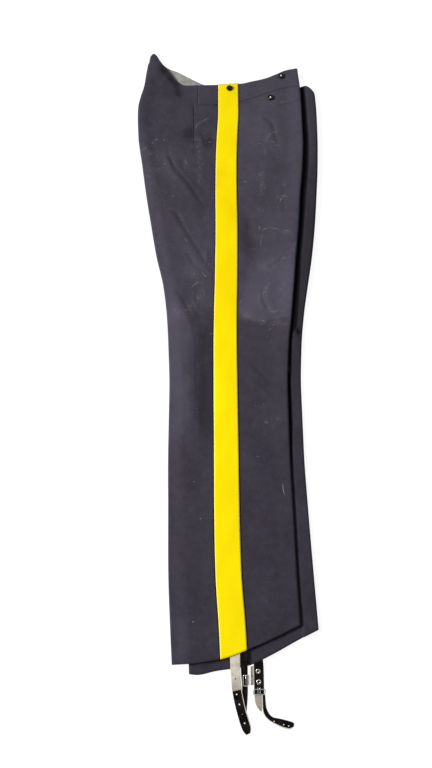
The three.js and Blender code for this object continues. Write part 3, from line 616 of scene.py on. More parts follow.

# How wide the painted shade of the black groove is, between the right leg's front crease and the leg beneath,
# up the legs
GROOVE = (
    (-420, 2), (-194, 2), (-159, 3), (-123, 4.5), (-68, 7.5), (10, 7), (24, 8), (90, 6.5), (103, 7),
    (114, 12), (200, 12), (300, 11), (440, 13), (500, 13), (600, 12), (700, 11),
)
GROOVE_SOFT = 3
GROOVE_DARK = 0.98
GROOVE_END = {"below": 3, "soft": 5}

# The nick, a spot of painted shade, and the nub, where the groove's painted shade stops, on the groove's two
# sides, each with its middle and its reach
NICK = (157, 106, 5, 8)
NUB = (137.5, 31, 2.5, 5)

# How far the shade of the lower leg's front crease reaches inwards, up the legs
RIM = ((-300, 1), (100, 3), (200, 6), (300, 9), (700, 9))
RIM_DARK = 0.55

# The right leg's creases get painted shade as they turn away: how far round that is, how soft, and how dark it
# gets
CREASE_SHADE = {"start": 0.45, "soft": 0.3, "dark": 0.85}
SHOWN_TURN = 0.9

tones = named_curves(TONE_NAMES, TONES)
boundary = curve(BOUNDARY)
groove_width = curve(GROOVE)
rim_reach = curve(RIM)


def spot_at(x, y, spot):
    middle_x, middle_y, reach_x, reach_y = spot
    return np.exp(-(((x - middle_x) / reach_x) ** 2) - ((y - middle_y) / reach_y) ** 2)


def over(value, edge, soft_width):
    """0 below an edge and 1 above it, soft round the edge."""
    return smooth((value - edge) / soft_width + 0.5)


def waver(x, y):
    """Moves places a little, so that the edges of the patches aren't straight."""
    x = x + 6 * np.sin(y / 21 + 1) + 3 * np.sin(y / 8 + x / 30)
    return x, y + 4 * np.sin(x / 15 + 2) + 2 * np.sin(x / 6)


def stroke_at(x, y, reach, path):
    distance, _, _ = path_distance(x, y, path)
    return np.exp(-((distance / reach) ** 2))


def right_tone(x, y):
    beside = over(x, outline["side"](y), STRIPE_WIDTH)
    tone = tones["left"](y) * (1 - beside) + tones["right"](y) * beside
    wavy_x, wavy_y = waver(x, y)
    for left, left_soft, right, right_soft, low, low_soft, high, high_soft, amount in PATCHES:
        across = over(wavy_x, left, left_soft) * (1 - over(wavy_x, right, right_soft))
        up = over(wavy_y, low, low_soft) * (1 - over(wavy_y, high, high_soft))
        tone = tone + amount * across * up
    # The first two spots are painted shade; the first stops at the dart
    stop = 1 - over(x, DART["x"], 1)
    for *spot, amount in SPOTS:
        tone = tone + amount * spot_at(x, y, spot) * stop
        stop = 1
    # Strokes below 0 are painted shade, added to the tone
    for reach, amount, path in STROKES:
        if amount < 0:
            tone = tone + amount * stroke_at(x, y, reach, path)
    patch = BOUNDARY_PATCH
    inside = over(x, boundary(y), patch["soft"]) * (1 - over(x, outline["side"](y), patch["side_soft"]))
    up = over(y, patch["low"], patch["low_soft"]) * (1 - over(y, patch["top"], patch["top_soft"]))
    return tone + patch["amount"] * inside * up


def dust_paint(x, y):
    """How much pale dust lies on the cloth."""
    dust = 0 * x
    for reach, amount, path in STROKES:
        if amount > 0:
            dust = np.maximum(dust, amount * stroke_at(x, y, reach, path))
    return dust


def line_paint(x, y):
    """The distance from the nearest line of painted shade, with the sign of its side, and how dark that line
    is.
    """
    nearest = np.full(x.shape, FAR)
    dark = np.zeros(x.shape)
    for path, strength in LINES:
        distance, _, side = path_distance(x, y, path)
        closer = distance < np.abs(nearest)
        nearest = np.where(closer, distance * side, nearest)
        dark = np.where(closer, strength, dark)
    for offset, strength in STRIPE_LINES:
        distance = x - outline["side"](y) - offset
        closer = np.abs(distance) < np.abs(nearest)
        nearest = np.where(closer, distance, nearest)
        dark = np.where(closer, strength, dark)
    return nearest, dark


def under_paint(x, y, turned):
    """The left leg is evenly toned, with painted shade in the black groove beside the right leg and on a dark
    rim.
    """
    gap = 1 - over(x - outline["front"](y), groove_width(y), GROOVE_SOFT)
    gap = np.maximum(gap * (1 - spot_at(x, y, NUB)), spot_at(x, y, NICK))
    above_hem = over(y, hem_right(x) - GROOVE_END["below"], GROOVE_END["soft"])
    rim = RIM_DARK * over(x, outline["low_front"](y) - rim_reach(y) / 2, rim_reach(y))
    shade = np.maximum(GROOVE_DARK * gap * above_hem, rim) * (turned > 0.5)
    return {"tone": tones["under"](y), "shade": shade, "line": FAR + 0 * x, "line_shade": 0 * x, "dust": 0 * x}


def upper_paint(x, y, turned, part):
    spots = sum(dark * spot_at(x, y, spot) for *spot, dark in SHADES)
    crease = over(turned, CREASE_SHADE["start"], CREASE_SHADE["soft"]) * (part != "back")
    line, line_shade = line_paint(x, y)
    shown = turned < SHOWN_TURN
    return {
        "tone": right_tone(x, y),
        "shade": np.maximum(spots, CREASE_SHADE["dark"] * crease),
        "line": line,
        "line_shade": line_shade * shown,
        "dust": dust_paint(x, y) * shown,
    }


def wool_paint(side, part, grid, turned):
    """The wool's tone, shade, nearest line and dust, at each point of a panel."""
    x, y = grid[..., 0], grid[..., 1]
    turned = turned[None, :] + 0 * x
    return under_paint(x, y, turned) if side == "left" else upper_paint(x, y, turned, part)


def grid_normals(grid, flip):
    along_x = np.gradient(grid, axis=1)
    along_y = np.gradient(grid, axis=0)
    normals = np.cross(along_x, along_y)
    normals /= np.maximum(np.linalg.norm(normals, axis=-1, keepdims=True), 1e-9)
    return -normals if flip else normals


STRIPE_COLUMNS = 15
STRIPE_ROWS = 320


def stripe_grid(side, hem, top):
    """The stripe lies on the outseam, its points moved out from the cloth under it."""
    half = HALVES[side]
    columns = [
        (("outer", lambda y, turn, edge, o=offset: half["side"](y) + o), top)
        for offset in np.linspace(-STRIPE_WIDTH / 2, STRIPE_WIDTH / 2, STRIPE_COLUMNS)
    ]
    grid = panel_grid(half, True, columns, np.linspace(0, 1, STRIPE_ROWS), rows_above(hem))
    normals = grid_normals(grid, side == "left")
    return grid + normals * (CLOTH / 2 + SEAM + STRIPE_THICK / 2)


def to_row(points):
    """Millimetres on the sheet to metres in the row frame."""
    return (np.asarray(points, float) - (SHEET_X, SHEET_Y, 0)) * MM


def link(mesh, name):
    piece = bpy.data.objects.new(name, mesh)
    bpy.context.scene.collection.objects.link(piece)
    return piece


def make_piece(bm, name, finish):
    mesh = bpy.data.meshes.new(name)
    bm.to_mesh(mesh)
    bm.free()
    mesh.materials.append(finish)
    return link(mesh, name)


def grid_place(vert, rows, columns):
    """The row and the column of a vertex of a new grid, which spans -1 to 1 both ways."""
    return round((vert.co.y + 1) / 2 * (rows - 1)), round((vert.co.x + 1) / 2 * (columns - 1))


def sheet_piece(name, grid, thick, finish, flip=False, notch=None, paint=None):
    """A sheet of cloth: a grid moved to its place, with its wall's thickness and a map along the cloth.
    notch is a row and a column: what is above that row and before that column is cut away. paint has an
    array of values for each of the vertex attributes that its finish reads."""
    rows, columns = grid.shape[:2]
    bm = bmesh.new()
    bmesh.ops.create_grid(bm, x_segments=columns - 1, y_segments=rows - 1, size=1)
    places = to_row(grid)
    steps_x = np.linalg.norm(np.diff(places, axis=1), axis=-1).mean(axis=0)
    steps_y = np.linalg.norm(np.diff(places, axis=0), axis=-1).mean(axis=1)
    across = np.concatenate(([0], np.cumsum(steps_x)))
    along = np.concatenate(([0], np.cumsum(steps_y)))
    cloth_map = bm.loops.layers.uv.new("cloth")
    for vert in bm.verts:
        row, column = grid_place(vert, rows, columns)
        vert.index = row * columns + column
    for face in bm.faces:
        face.smooth = True
        for loop in face.loops:
            row, column = divmod(loop.vert.index, columns)
            loop[cloth_map].uv = (across[column], along[row])
    painted = {key: bm.verts.layers.float.new(key) for key in paint or {}}
    for vert in bm.verts:
        row, column = divmod(vert.index, columns)
        vert.co = places[row, column]
        for key, layer in painted.items():
            vert[layer] = paint[key][row, column]
    if notch:
        cut = [
            face for face in bm.faces
            if min(divmod(vert.index, columns)[0] for vert in face.verts) >= notch[0]
            and min(divmod(vert.index, columns)[1] for vert in face.verts) < notch[1]
        ]
        bmesh.ops.delete(bm, geom=cut, context="FACES")
    if flip:
        bmesh.ops.reverse_faces(bm, faces=bm.faces[:])
    area = sum(face.calc_area() for face in bm.faces)
    piece = make_piece(bm, name, finish)
    wall = piece.modifiers.new("Wall", "SOLIDIFY")
    wall.thickness = thick * MM
    wall.offset = 0
    wall.use_even_offset = False
    piece["cut_area"] = area
    return piece


def add_surface(bm, places):
    """Adds a surface through an array of points [row, column, xyz]. Points in the same place become one."""
    rows, columns = places.shape[:2]
    made = bmesh.ops.create_grid(bm, x_segments=columns - 1, y_segments=rows - 1, size=1)["verts"]
    for vert in made:
        vert.co = places[grid_place(vert, rows, columns)]
    bmesh.ops.remove_doubles(bm, verts=made, dist=1e-6)


def finish_mesh(bm, name, finish):
    """Turns the faces outwards and makes the piece."""
    bmesh.ops.recalc_face_normals(bm, faces=bm.faces[:])
    for face in bm.faces:
        face.smooth = True
    return make_piece(bm, name, finish)


def tube(points, across, up, sides=10, closed=False):
    """The surface of a bar along level points, with its half width and half height."""
    points = np.asarray(points, float)
    if closed:
        points = np.concatenate([points, points[:1]])
        tangents = np.roll(points[:-1], -1, axis=0) - np.roll(points[:-1], 1, axis=0)
        tangents = np.concatenate([tangents, tangents[:1]])
    else:
        tangents = np.gradient(points, axis=0)
    tangents /= np.linalg.norm(tangents, axis=1, keepdims=True)
    outward = np.cross(tangents, (0, 0, 1))
    outward /= np.maximum(np.linalg.norm(outward, axis=1, keepdims=True), 1e-9)
    above = np.cross(outward, tangents)
    angles = np.linspace(0, 2 * math.pi, sides + 1)
    ring = outward[:, None] * np.cos(angles)[None, :, None] * across
    ring = ring + above[:, None] * np.sin(angles)[None, :, None] * up
    surface = points[:, None] + ring
    if not closed:
        ends = [np.repeat(points[i][None, None], sides + 1, axis=1) for i in (0, -1)]
        surface = np.concatenate([ends[0], surface, ends[1]])
    return surface


def bake(piece):
    """Applies a piece's modifiers."""
    bpy.context.view_layer.update()
    graph = bpy.context.evaluated_depsgraph_get()
    mesh = bpy.data.meshes.new_from_object(
        piece.evaluated_get(graph), preserve_all_data_layers=True, depsgraph=graph
    )
    piece.modifiers.clear()
    piece.data = mesh


HOLE_SIDES = 20
CUTTER_DEPTH = 0.1


def punch(piece, places, radius):
    """Cuts round holes through a piece at places on the sheet."""
    bm = bmesh.new()
    for x, y in places:
        at = Matrix.Translation(Vector(to_row((x, y, 0))))
        bmesh.ops.create_cone(
            bm, cap_ends=True, segments=HOLE_SIDES, radius1=radius * MM, radius2=radius * MM,
            depth=CUTTER_DEPTH, matrix=at,
        )
    mesh = bpy.data.meshes.new("cutter")
    bm.to_mesh(mesh)
    bm.free()
    cutter = link(mesh, "cutter")
    cut = piece.modifiers.new("Holes", "BOOLEAN")
    cut.object = cutter
    cut.operation = "DIFFERENCE"
    bake(piece)
    bpy.data.objects.remove(cutter)
    bpy.data.meshes.remove(mesh)


def flat_size(grid):
    """The widest row and the longest column of a piece of cloth."""
    places = to_row(grid)
    width = np.linalg.norm(np.diff(places, axis=1), axis=-1).sum(axis=1).max()
    length = np.linalg.norm(np.diff(places, axis=0), axis=-1).sum(axis=0).max()
    return float(width), float(length)


# Materials


class Value:
    """A socket whose number can be used in Python expressions, which add Math nodes."""

    def __init__(self, shader, socket):
        self.shader = shader
        self.socket = socket

    def __add__(self, other):
        return self.shader.math("ADD", self, other)

    def __sub__(self, other):
        return self.shader.math("SUBTRACT", self, other)

    def __mul__(self, other):
        return self.shader.math("MULTIPLY", self, other)

    __radd__ = __add__
    __rmul__ = __mul__

    def __rsub__(self, other):
        return self.shader.math("SUBTRACT", other, self)


class Shader:
    """The nodes of one material."""

    def __init__(self, name, **sockets):
        self.material = bpy.data.materials.new(f"{name}_finish")
        self.material.use_nodes = True
        self.tree = self.material.node_tree
        self.surface = self.tree.nodes["Principled BSDF"]
        for label, value in sockets.items():
            self.surface.inputs[label.replace("_", " ")].default_value = value

    def node(self, kind, settings=None, inputs=None, output=0):
        made = self.tree.nodes.new(kind)
        for key, value in (settings or {}).items():
            setattr(made, key, value)
        for key, value in (inputs or {}).items():
            if isinstance(value, Value):
                self.tree.links.new(value.socket, made.inputs[key])
            else:
                made.inputs[key].default_value = value
        return Value(self, made.outputs[output])

    def place(self):
        return self.node("ShaderNodeTexCoord", output="Object")

    def axis(self, vector, index):
        return self.node("ShaderNodeSeparateXYZ", {}, {0: vector}, output=index)

    def cloth_map(self):
        """The map along the cloth, in metres."""
        return self.node("ShaderNodeUVMap", {"uv_map": "cloth"})

    def math(self, operation, *values):
        return self.node("ShaderNodeMath", {"operation": operation}, dict(enumerate(values)))

    def noise(self, place, scale, detail=2.0, roughness=0.5):
        inputs = {"Vector": place, "Scale": scale, "Detail": detail, "Roughness": roughness}
        return self.node("ShaderNodeTexNoise", {}, inputs)

    def mix(self, factor, a, b):
        return self.node("ShaderNodeMix", {"data_type": "RGBA"}, {0: factor, 6: a, 7: b}, output=2)

    def painted(self, name):
        """The value of a vertex attribute."""
        return self.node("ShaderNodeAttribute", {"attribute_name": name}, output="Fac")

    def ramp(self, value, low, high):
        inputs = {"Value": value, "From Min": low, "From Max": high}
        return self.node("ShaderNodeMapRange", {"clamp": True}, inputs)

    def feed(self, label, value):
        self.tree.links.new(value.socket, self.surface.inputs[label])

    def bump(self, height, distance, strength=1.0):
        inputs = {"Height": height, "Distance": distance, "Strength": strength}
        self.feed("Normal", self.node("ShaderNodeBump", {}, inputs))


def rgb(color):
    return (*color, 1.0)


def times(color, factor):
    return rgb([channel * factor for channel in color])


# Colours that are worked into the finishes
SPECK_COLOR = (0.22, 0.20, 0.22)
DUST_COLOR = (0.145, 0.122, 0.135)
SHADE_COLOR = (0.001, 0.001, 0.0015)
STRIPE_EDGE_COLOR = (0.86, 0.72, 0.12)
BLACK_STAIN = (0.013, 0.011, 0.008)
SUEDE_STAIN = (0.42, 0.38, 0.34)
BUTTON_COLOR = (0.004, 0.003, 0.003)
FLOOR_COLOR = (0.13, 0.13, 0.13)
THREAD_COLORS = {
    "dark_thread": (0.02, 0.02, 0.02),
    # The pale thread is real thread, and also a painted highlight on the front buttons
    "pale_thread_glint": (0.95, 0.94, 0.92),
    "yellow_thread": (0.86, 0.72, 0.16),
    "navy_thread": (0.05, 0.045, 0.06),
    "lint": (0.34, 0.32, 0.33),
}


def wool_material(color, worn):
    """Dense napped wool. Its tone, shade and lines are painted on the panels."""
    shader = Shader(
        "navy_wool", Roughness=0.9, Sheen_Weight=0.03, Sheen_Roughness=0.5, Specular_IOR_Level=0.12
    )
    place = shader.place()
    broad = shader.noise(place, 16, 4, 0.6)
    mottle = shader.noise(place, 75, 4, 0.65)
    nap = shader.noise(place, 520, 3, 0.7)
    rough = (broad - 0.5) * 0.55 + (mottle - 0.5) * 0.5 + (nap - 0.5) * 0.5
    base = shader.mix(shader.ramp(shader.painted("tone") + rough, 0, 1), rgb(color), rgb(worn))
    high = shader.ramp(shader.axis(place, 1), -0.1, 0.35) * 0.7 + 0.3
    specks = shader.ramp(shader.noise(place, 330, 1, 0.5), 0.74, 0.79) * high
    base = shader.mix(specks * 0.2, base, rgb(SPECK_COLOR))
    clumps = shader.ramp(shader.noise(place, 110, 4, 0.7), 0.40, 0.62)
    base = shader.mix(shader.painted("dust") * clumps * 0.55, base, rgb(DUST_COLOR))
    # The lines of painted shade darken the wool as the shade does
    line = 1 - shader.ramp(shader.math("ABSOLUTE", shader.painted("line")), 0.35, 1.25)
    shade = shader.math("MAXIMUM", shader.painted("shade"), line * shader.painted("line_shade"))
    shader.feed("Base Color", shader.mix(shade, base, rgb(SHADE_COLOR)))
    shader.bump(nap + mottle * 0.8, 0.0007, 0.6)
    return shader.material


# The stripe's deeper tone, as a share of each channel
STRIPE_DEEP = (0.97, 0.88, 0.7)


def stripe_material(color):
    """Smooth yellow cloth, paler along both pressed edges."""
    shader = Shader("yellow_cloth", Roughness=0.9, Specular_IOR_Level=0.03)
    place = shader.place()
    broad = shader.ramp(shader.noise(place, 11, 3), 0.38, 0.66)
    nap = shader.noise(place, 700, 4, 0.7)
    deep = [channel * share for channel, share in zip(color, STRIPE_DEEP)]
    height = shader.axis(place, 1)
    thigh = shader.ramp(height, 0.0, 0.03) * (1 - shader.ramp(height, 0.33, 0.45))
    body = shader.mix(broad * 0.5 + thigh * 0.45 + nap * 0.15, rgb(color), rgb(deep))
    across = shader.axis(shader.cloth_map(), 0)
    half = STRIPE_WIDTH / 2 * MM
    edge = shader.ramp(shader.math("ABSOLUTE", across - half), half - 0.0022, half - 0.0008)
    shader.feed("Base Color", shader.mix(edge * 0.7, body, rgb(STRIPE_EDGE_COLOR)))
    shader.bump(nap, 0.0004, 0.4)
    return shader.material


def lining_material(color):
    shader = Shader("pale_lining", Roughness=0.9)
    inputs = {"Vector": shader.cloth_map(), "Scale": 260, "Distortion": 0.4}
    rib = shader.node("ShaderNodeTexWave", {"wave_type": "BANDS"}, inputs)
    marks = shader.ramp(shader.noise(shader.place(), 70, 3, 0.6), 0.35, 0.65)
    shader.feed("Base Color", shader.mix(rib * 0.3 + marks * 0.55, rgb(color), times(color, 0.45)))
    shader.bump(rib, 0.0003, 0.5)
    return shader.material


# Where the lower end's darkening is full and where it starts, in metres up the sheet
LOW_DARKENING_RUN = (-0.613, -0.597)


def leather_material(name, color, rough, stain, cut_edge, low_darkening=0):
    """Leather whose map starts at its cut edge, which shows as a thin line of another colour. Its lower
    end gets darker towards the bottom, as strongly as its last argument says."""
    shader = Shader(name, Roughness=rough, Specular_IOR_Level=0.08)
    place = shader.place()
    grain = shader.node("ShaderNodeTexVoronoi", {"feature": "F1"}, {"Vector": place, "Scale": 900})
    patches = shader.ramp(shader.noise(place, 90, 4), 0.42, 0.62)
    across = shader.axis(shader.cloth_map(), 0)
    edge = 1 - shader.ramp(across, 0.0009, 0.0014)
    low = 1 - shader.ramp(shader.axis(place, 1), *LOW_DARKENING_RUN)
    body = shader.mix(patches * 0.7, rgb(color), rgb(stain))
    body = shader.mix(low * low_darkening, body, times(stain, 0.4))
    shader.feed("Base Color", shader.mix(edge, body, rgb(cut_edge)))
    shader.feed("Roughness", patches * 0.15 + rough)
    shader.bump(grain + shader.noise(place, 300, 2), 0.0003, 0.4)
    return shader.material


def metal_material(color):
    shader = Shader("strap_metal", Metallic=1.0, Roughness=0.35)
    place = shader.place()
    worn = shader.ramp(shader.noise(place, 160, 4), 0.5, 0.8)
    shader.feed("Base Color", shader.mix(worn * 0.5, rgb(color), times(color, 0.35)))
    shader.feed("Roughness", worn * 0.3 + 0.22)
    shader.bump(shader.noise(place, 400, 2), 0.0001, 0.3)
    return shader.material


def button_material(color):
    shader = Shader("black_button", Base_Color=rgb(color), Coat_Weight=0.15, Specular_IOR_Level=0.3)
    scuffs = shader.ramp(shader.noise(shader.place(), 500, 3), 0.5, 0.75)
    shader.feed("Roughness", scuffs * 0.3 + 0.12)
    return shader.material


def thread_material(name, color):
    """Twisted thread or a loose fibre."""
    shader = Shader(name, Roughness=0.8)
    twist = shader.noise(shader.place(), 900, 2)
    shader.feed("Base Color", shader.mix(twist, times(color, 0.6), rgb(color)))
    return shader.material


# Properties


class TrousersCloth(bpy.types.PropertyGroup):
    wool_color: FloatVectorProperty(
        name="Wool", description="Colour of the wool", subtype="COLOR", default=(0.026, 0.022, 0.030)
    )
    wool_worn: FloatVectorProperty(
        name="Worn wool", description="Colour of the wool where it is worn or dusty", subtype="COLOR",
        default=(0.074, 0.066, 0.094),
    )
    stripe_color: FloatVectorProperty(
        name="Stripe", description="Colour of the stripe", subtype="COLOR", default=(0.88, 0.71, 0.002)
    )
    lining_color: FloatVectorProperty(
        name="Lining", description="Colour of the waist lining", subtype="COLOR", default=(0.36, 0.35, 0.33)
    )


class TrousersStraps(bpy.types.PropertyGroup):
    black_color: FloatVectorProperty(
        name="Black leather", description="Colour of the grain side", subtype="COLOR",
        default=(0.003, 0.0025, 0.002),
    )
    pale_color: FloatVectorProperty(
        name="Pale leather", description="Colour of the flesh side", subtype="COLOR",
        default=(0.62, 0.57, 0.47),
    )
    metal_color: FloatVectorProperty(
        name="Metal", description="Colour of the buckles and eyelets", subtype="COLOR",
        default=(0.80, 0.78, 0.72),
    )
    bevel: FloatProperty(
        name="Edge", description="Roundness of a strap's edge", default=0.0003, unit="LENGTH"
    )


class TrousersStage(bpy.types.PropertyGroup):
    key_power: FloatProperty(
        name="Key light", description="Power of the key light", default=98.0, unit="POWER"
    )
    sky: FloatProperty(name="Fill", description="Strength of the even light", default=0.38)
    lens: FloatProperty(name="Lens", description="Focal length on a 36 mm long side", default=26.0)


def material(name, make):
    """The finish of that name, made the first time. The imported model's own materials have the bare names."""
    return bpy.data.materials.get(f"{name}_finish") or make()


def wool():
    cloth = bpy.context.scene.trousers_cloth
    return material("navy_wool", lambda: wool_material(tuple(cloth.wool_color), tuple(cloth.wool_worn)))


def yellow():
    cloth = bpy.context.scene.trousers_cloth
    return material("yellow_cloth", lambda: stripe_material(tuple(cloth.stripe_color)))


def black_leather():
    straps = bpy.context.scene.trousers_straps
    color, edge = tuple(straps.black_color), tuple(straps.pale_color)
    return material(
        "black_leather", lambda: leather_material("black_leather", color, 0.42, BLACK_STAIN, edge)
    )


def pale_leather():
    color = tuple(bpy.context.scene.trousers_straps.pale_color)
    return material(
        "pale_leather", lambda: leather_material("pale_leather", color, 0.8, SUEDE_STAIN, color, 0.6)
    )


def thread(name):
    return material(name, lambda: thread_material(name, THREAD_COLORS[name]))


def dress(piece, node):
    """Puts a piece in place of its CAD node."""
    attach(piece, "root")
    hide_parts(node)
    return piece


def cut_area(piece, grid):
    """The area of the cloth as cut, which is never more than its width times its length."""
    width, length = flat_size(grid)
    return min(piece["cut_area"], width * length)


def build_half(side, hem, seam, top):
    grids = half_grids(side, hem, seam, top)
    upside = side == "left"
    for part, (grid, turned) in grids.items():
        node = f"{side}_{part}"
        flip = (part == "back") != upside
        notch = (LEG_ROWS[side] - 1, BESIDE_BAND) if part == "back" else None
        paint = wool_paint(side, part, grid, turned)
        piece = sheet_piece(f"{node}_cloth", grid, CLOTH, wool(), flip, notch, paint)
        dress(piece, node)
        area = cut_area(piece, grid)
        flat_size(grid)
    grid = stripe_grid(side, hem, top)
    piece = sheet_piece(f"{side}_stripe_cloth", grid, STRIPE_THICK, yellow(), upside)
    dress(piece, f"{side}_stripe")
    flat_size(grid)


class TROUSERS_OT_right_leg(bpy.types.Operator):
    """Make the right leg, which lies on top: its front, back, waistband and stripe."""

    bl_idname = "trousers.right_leg"
    bl_label = "Right leg"

    def execute(self, context):
        build_half("right", hem_right, seam_right, top_right)
        return {"FINISHED"}


class TROUSERS_OT_left_leg(bpy.types.Operator):
    """Make the left leg, which lies beneath: its front, back, waistband and stripe."""

    bl_idname = "trousers.left_leg"
    bl_label = "Left leg"

    def execute(self, context):
        build_half("left", hem_left, seam_left, top_left)
        return {"FINISHED"}


LINING = {"from_x": -26, "to_x": -127, "depth": 34, "hem": 1.5, "columns": 60, "rows": 18}


class TROUSERS_OT_lining(bpy.types.Operator):
    """Make the pale lining inside the back of the waist."""

    bl_idname = "trousers.lining"
    bl_label = "Waist lining"

    def execute(self, context):
        color = tuple(context.scene.trousers_cloth.lining_color)
        pale = material("pale_lining", lambda: lining_material(color))

        def below_top(depth):
            return lambda x: top_left(x) - depth

        columns = [
            (("outer", lambda y, turn, edge, p=x: p + 0 * y), below_top(LINING["hem"]))
            for x in np.linspace(LINING["from_x"], LINING["to_x"], LINING["columns"])
        ]
        rows = np.linspace(0, 1, LINING["rows"])
        grid = panel_grid(HALVES["left"], False, columns, rows, rows_above(below_top(LINING["depth"])))
        grid[..., 2] += CLOTH / 2 + SEAM + LINING_THICK / 2
        piece = sheet_piece("waist_lining_cloth", grid, LINING_THICK, pale, True)
        dress(piece, "waist_lining")
        area = cut_area(piece, grid)
        flat_size(grid)
        return {"FINISHED"}


# Straps: the same rows as the solids', each with the x and y of its left and right edge and its height
RIGHT_BILLET = (
    (22.8, -442, 38.9, -442, 10.9), (22.8, -462, 38.9, -462, 10.9), (23, -472.1, 39, -472.1, 10.6),
    (23.7, -484.5, 39.3, -484.5, 8.9), (24.6, -497.2, 39.9, -497.2, 6.4), (26.3, -513.2, 41.3, -510.2, 3.4),
    (29.3, -528.6, 44, -524.6, 2.4), (33.4, -544.3, 48, -540.8, 2.4), (39.2, -562.4, 53.5, -557.4, 1.2),
    (43.1, -570.9, 55.7, -565.8, 0.2), (47.7, -576, 54.8, -573, 0),
)
BILLET_LINING = ((22.8, -461.4, 38.9, -455.8, 10.9), *RIGHT_BILLET[2:6])
RIGHT_BUCKLE_STRAP = (
    (39.6, -442, 51.1, -442, 10.9), (39.6, -462, 51.1, -462, 10.9), (39.8, -472.1, 51.1, -472.1, 10.4),
    (40.3, -483.7, 51.2, -483.7, 8.3), (42.2, -511, 51.4, -511, 0.3), (39.6, -523.3, 50.9, -523.3, 0),
    (36.5, -547.6, 48.1, -549.7, 0),
)
LEFT_BUCKLE_STRAP = (
    (60.9, -456, 76.6, -456, 3.7), (60.9, -466, 76.6, -466, 3.7), (61.5, -476.8, 77.3, -476.8, 3.5),
    (61.8, -491.8, 77.7, -491.8, 0), (61.8, -505, 77.7, -505, 0), (61.8, -519.2, 77.7, -519.2, 0),
)
LEFT_STRAP_LINING = (
    (56.6, -477.4, 61, -477, 3.4), (56.5, -491.8, 61.3, -491.8, 0), (56.2, -505, 61.3, -505, 0),
)
LEFT_KEEPER = (
    (61.9, -519.5, 73.8, -519.5, 0), (62.9, -529.4, 73.8, -529.4, 0), (66.4, -537.5, 73.6, -535.5, 0),
    (72, -543.6, 73.6, -541, 0),
)
LEFT_BILLET = (
    (74.3, -519.5, 79.2, -519.5, 0), (74.2, -536.5, 80.4, -535.8, 0), (75.1, -544.1, 82.7, -542.6, 0),
    (77.7, -549.4, 86, -547.7, 0), (85.8, -556.8, 92.8, -552, 0), (97.9, -562.8, 99.9, -553.1, 0),
    (106.7, -566.4, 109.5, -555.1, 0), (115.4, -568.1, 118.2, -557.3, 0), (121, -566.3, 123.3, -559.1, 0),
)
STRAP_COLUMNS = 9
STRAP_BETWEEN = 6
STRAP_EDGE_ANGLE = 50


def strap_grid(rows, lift):
    """A strap's middle surface, smoothly through its rows."""
    places = np.arange(len(rows))
    fine = np.linspace(0, len(rows) - 1, (len(rows) - 1) * STRAP_BETWEEN + 1)
    lines = [curve(list(zip(places, [row[i] for row in rows])))(fine) for i in range(5)]
    shares = np.linspace(0, 1, STRAP_COLUMNS)
    left_x, left_y, right_x, right_y, z = (line[:, None] for line in lines)
    x = left_x + (right_x - left_x) * shares
    y = left_y + (right_y - left_y) * shares
    return np.stack([x, y, z + lift + 0 * shares], axis=-1)


def strap_height(rows, y):
    """The height of a strap's underside at a place down its length."""
    middles = [(row[1] + row[3]) / 2 for row in rows]
    return float(np.interp(-y, [-middle for middle in middles], [row[4] for row in rows]))


def edge_first(mesh, edge):
    """Moves the map so that it starts at a strap's pale cut edge, and away from 0 where none shows."""
    places = mesh.uv_layers["cloth"].data
    width = max(loop.uv.x for loop in places)
    for loop in places:
        if edge == "right":
            loop.uv.x = width - loop.uv.x
        elif not edge:
            loop.uv.x += 1


def strap_piece(name, rows, thick, lift, leather, edge, holes, hole_radius):
    grid = strap_grid(rows, lift + thick / 2)
    piece = sheet_piece(name, grid, thick, leather, True)
    edge_first(piece.data, edge)
    if holes:
        punch(piece, holes, hole_radius)
    round_edge = piece.modifiers.new("Edge", "BEVEL")
    round_edge.width = bpy.context.scene.trousers_straps.bevel
    round_edge.segments = 2
    round_edge.limit_method = "ANGLE"
    round_edge.angle_limit = math.radians(STRAP_EDGE_ANGLE)
    return piece


LINING_HOLE = ((31.7, -494.4),)
RIGHT_HOLES = ((33.1, -517.9), (37.4, -532.3), (41.2, -545.5), (45.3, -559.3))
LEFT_HOLES = ((92.5, -557), (107.5, -561.5), (115.5, -563.5))
ROUND_END = (123.4, -564.4, 124.4, -561, 0)
PALE_STRAPS = ("right_billet_lining", "left_strap_lining", "left_keeper")

# Each strap's node and rows, its thickness, its height above the rows, its side with a pale cut edge, its
# holes and their radius
STRAPS = (
    ("right_billet", RIGHT_BILLET, STRAP_THICK, 0, "right", RIGHT_HOLES, 1.2),
    ("right_billet_lining", BILLET_LINING, LINING_THICK, STRAP_THICK + SEAM, None, LINING_HOLE, 1.2),
    ("right_buckle_strap", RIGHT_BUCKLE_STRAP, STRAP_THICK, 0, None, (), 0),
    ("left_buckle_strap", LEFT_BUCKLE_STRAP, STRAP_THICK, 0, None, (), 0),
    ("left_strap_lining", LEFT_STRAP_LINING, STRAP_THICK, 0, None, (), 0),
    ("left_keeper", LEFT_KEEPER, STRAP_THICK, 0, None, (), 0),
    ("left_billet", (*LEFT_BILLET, ROUND_END), STRAP_THICK, 0, "left", LEFT_HOLES, 0.9),
)


class TROUSERS_OT_straps(bpy.types.Operator):
    """Make the leather foot straps."""

    bl_idname = "trousers.straps"
    bl_label = "Foot straps"

    def execute(self, context):
        for node, rows, thick, lift, edge, holes, radius in STRAPS:
            pale = node in PALE_STRAPS
            leather = pale_leather() if pale else black_leather()
            piece = strap_piece(f"{node}_leather", rows, thick, lift, leather, edge, holes, radius)
            dress(piece, node)
        return {"FINISHED"}


# Buckles, in millimetres on their strap: the frame's width, height and corner between the middles of its
# bars, a bar's half width, where the buckle lies, and how far it reaches along the strap both ways
METAL_THICK = 1.8
RIGHT_BUCKLE = {"width": 9, "height": 17.1, "corner": 2, "bar": 1, "x": 48.3, "y": -497.1, "reach": 9.5}
LEFT_BUCKLE = {"width": 19.3, "height": 7.3, "corner": 1.6, "bar": 0.85, "x": 69.9, "y": -514.5, "reach": 4.5}

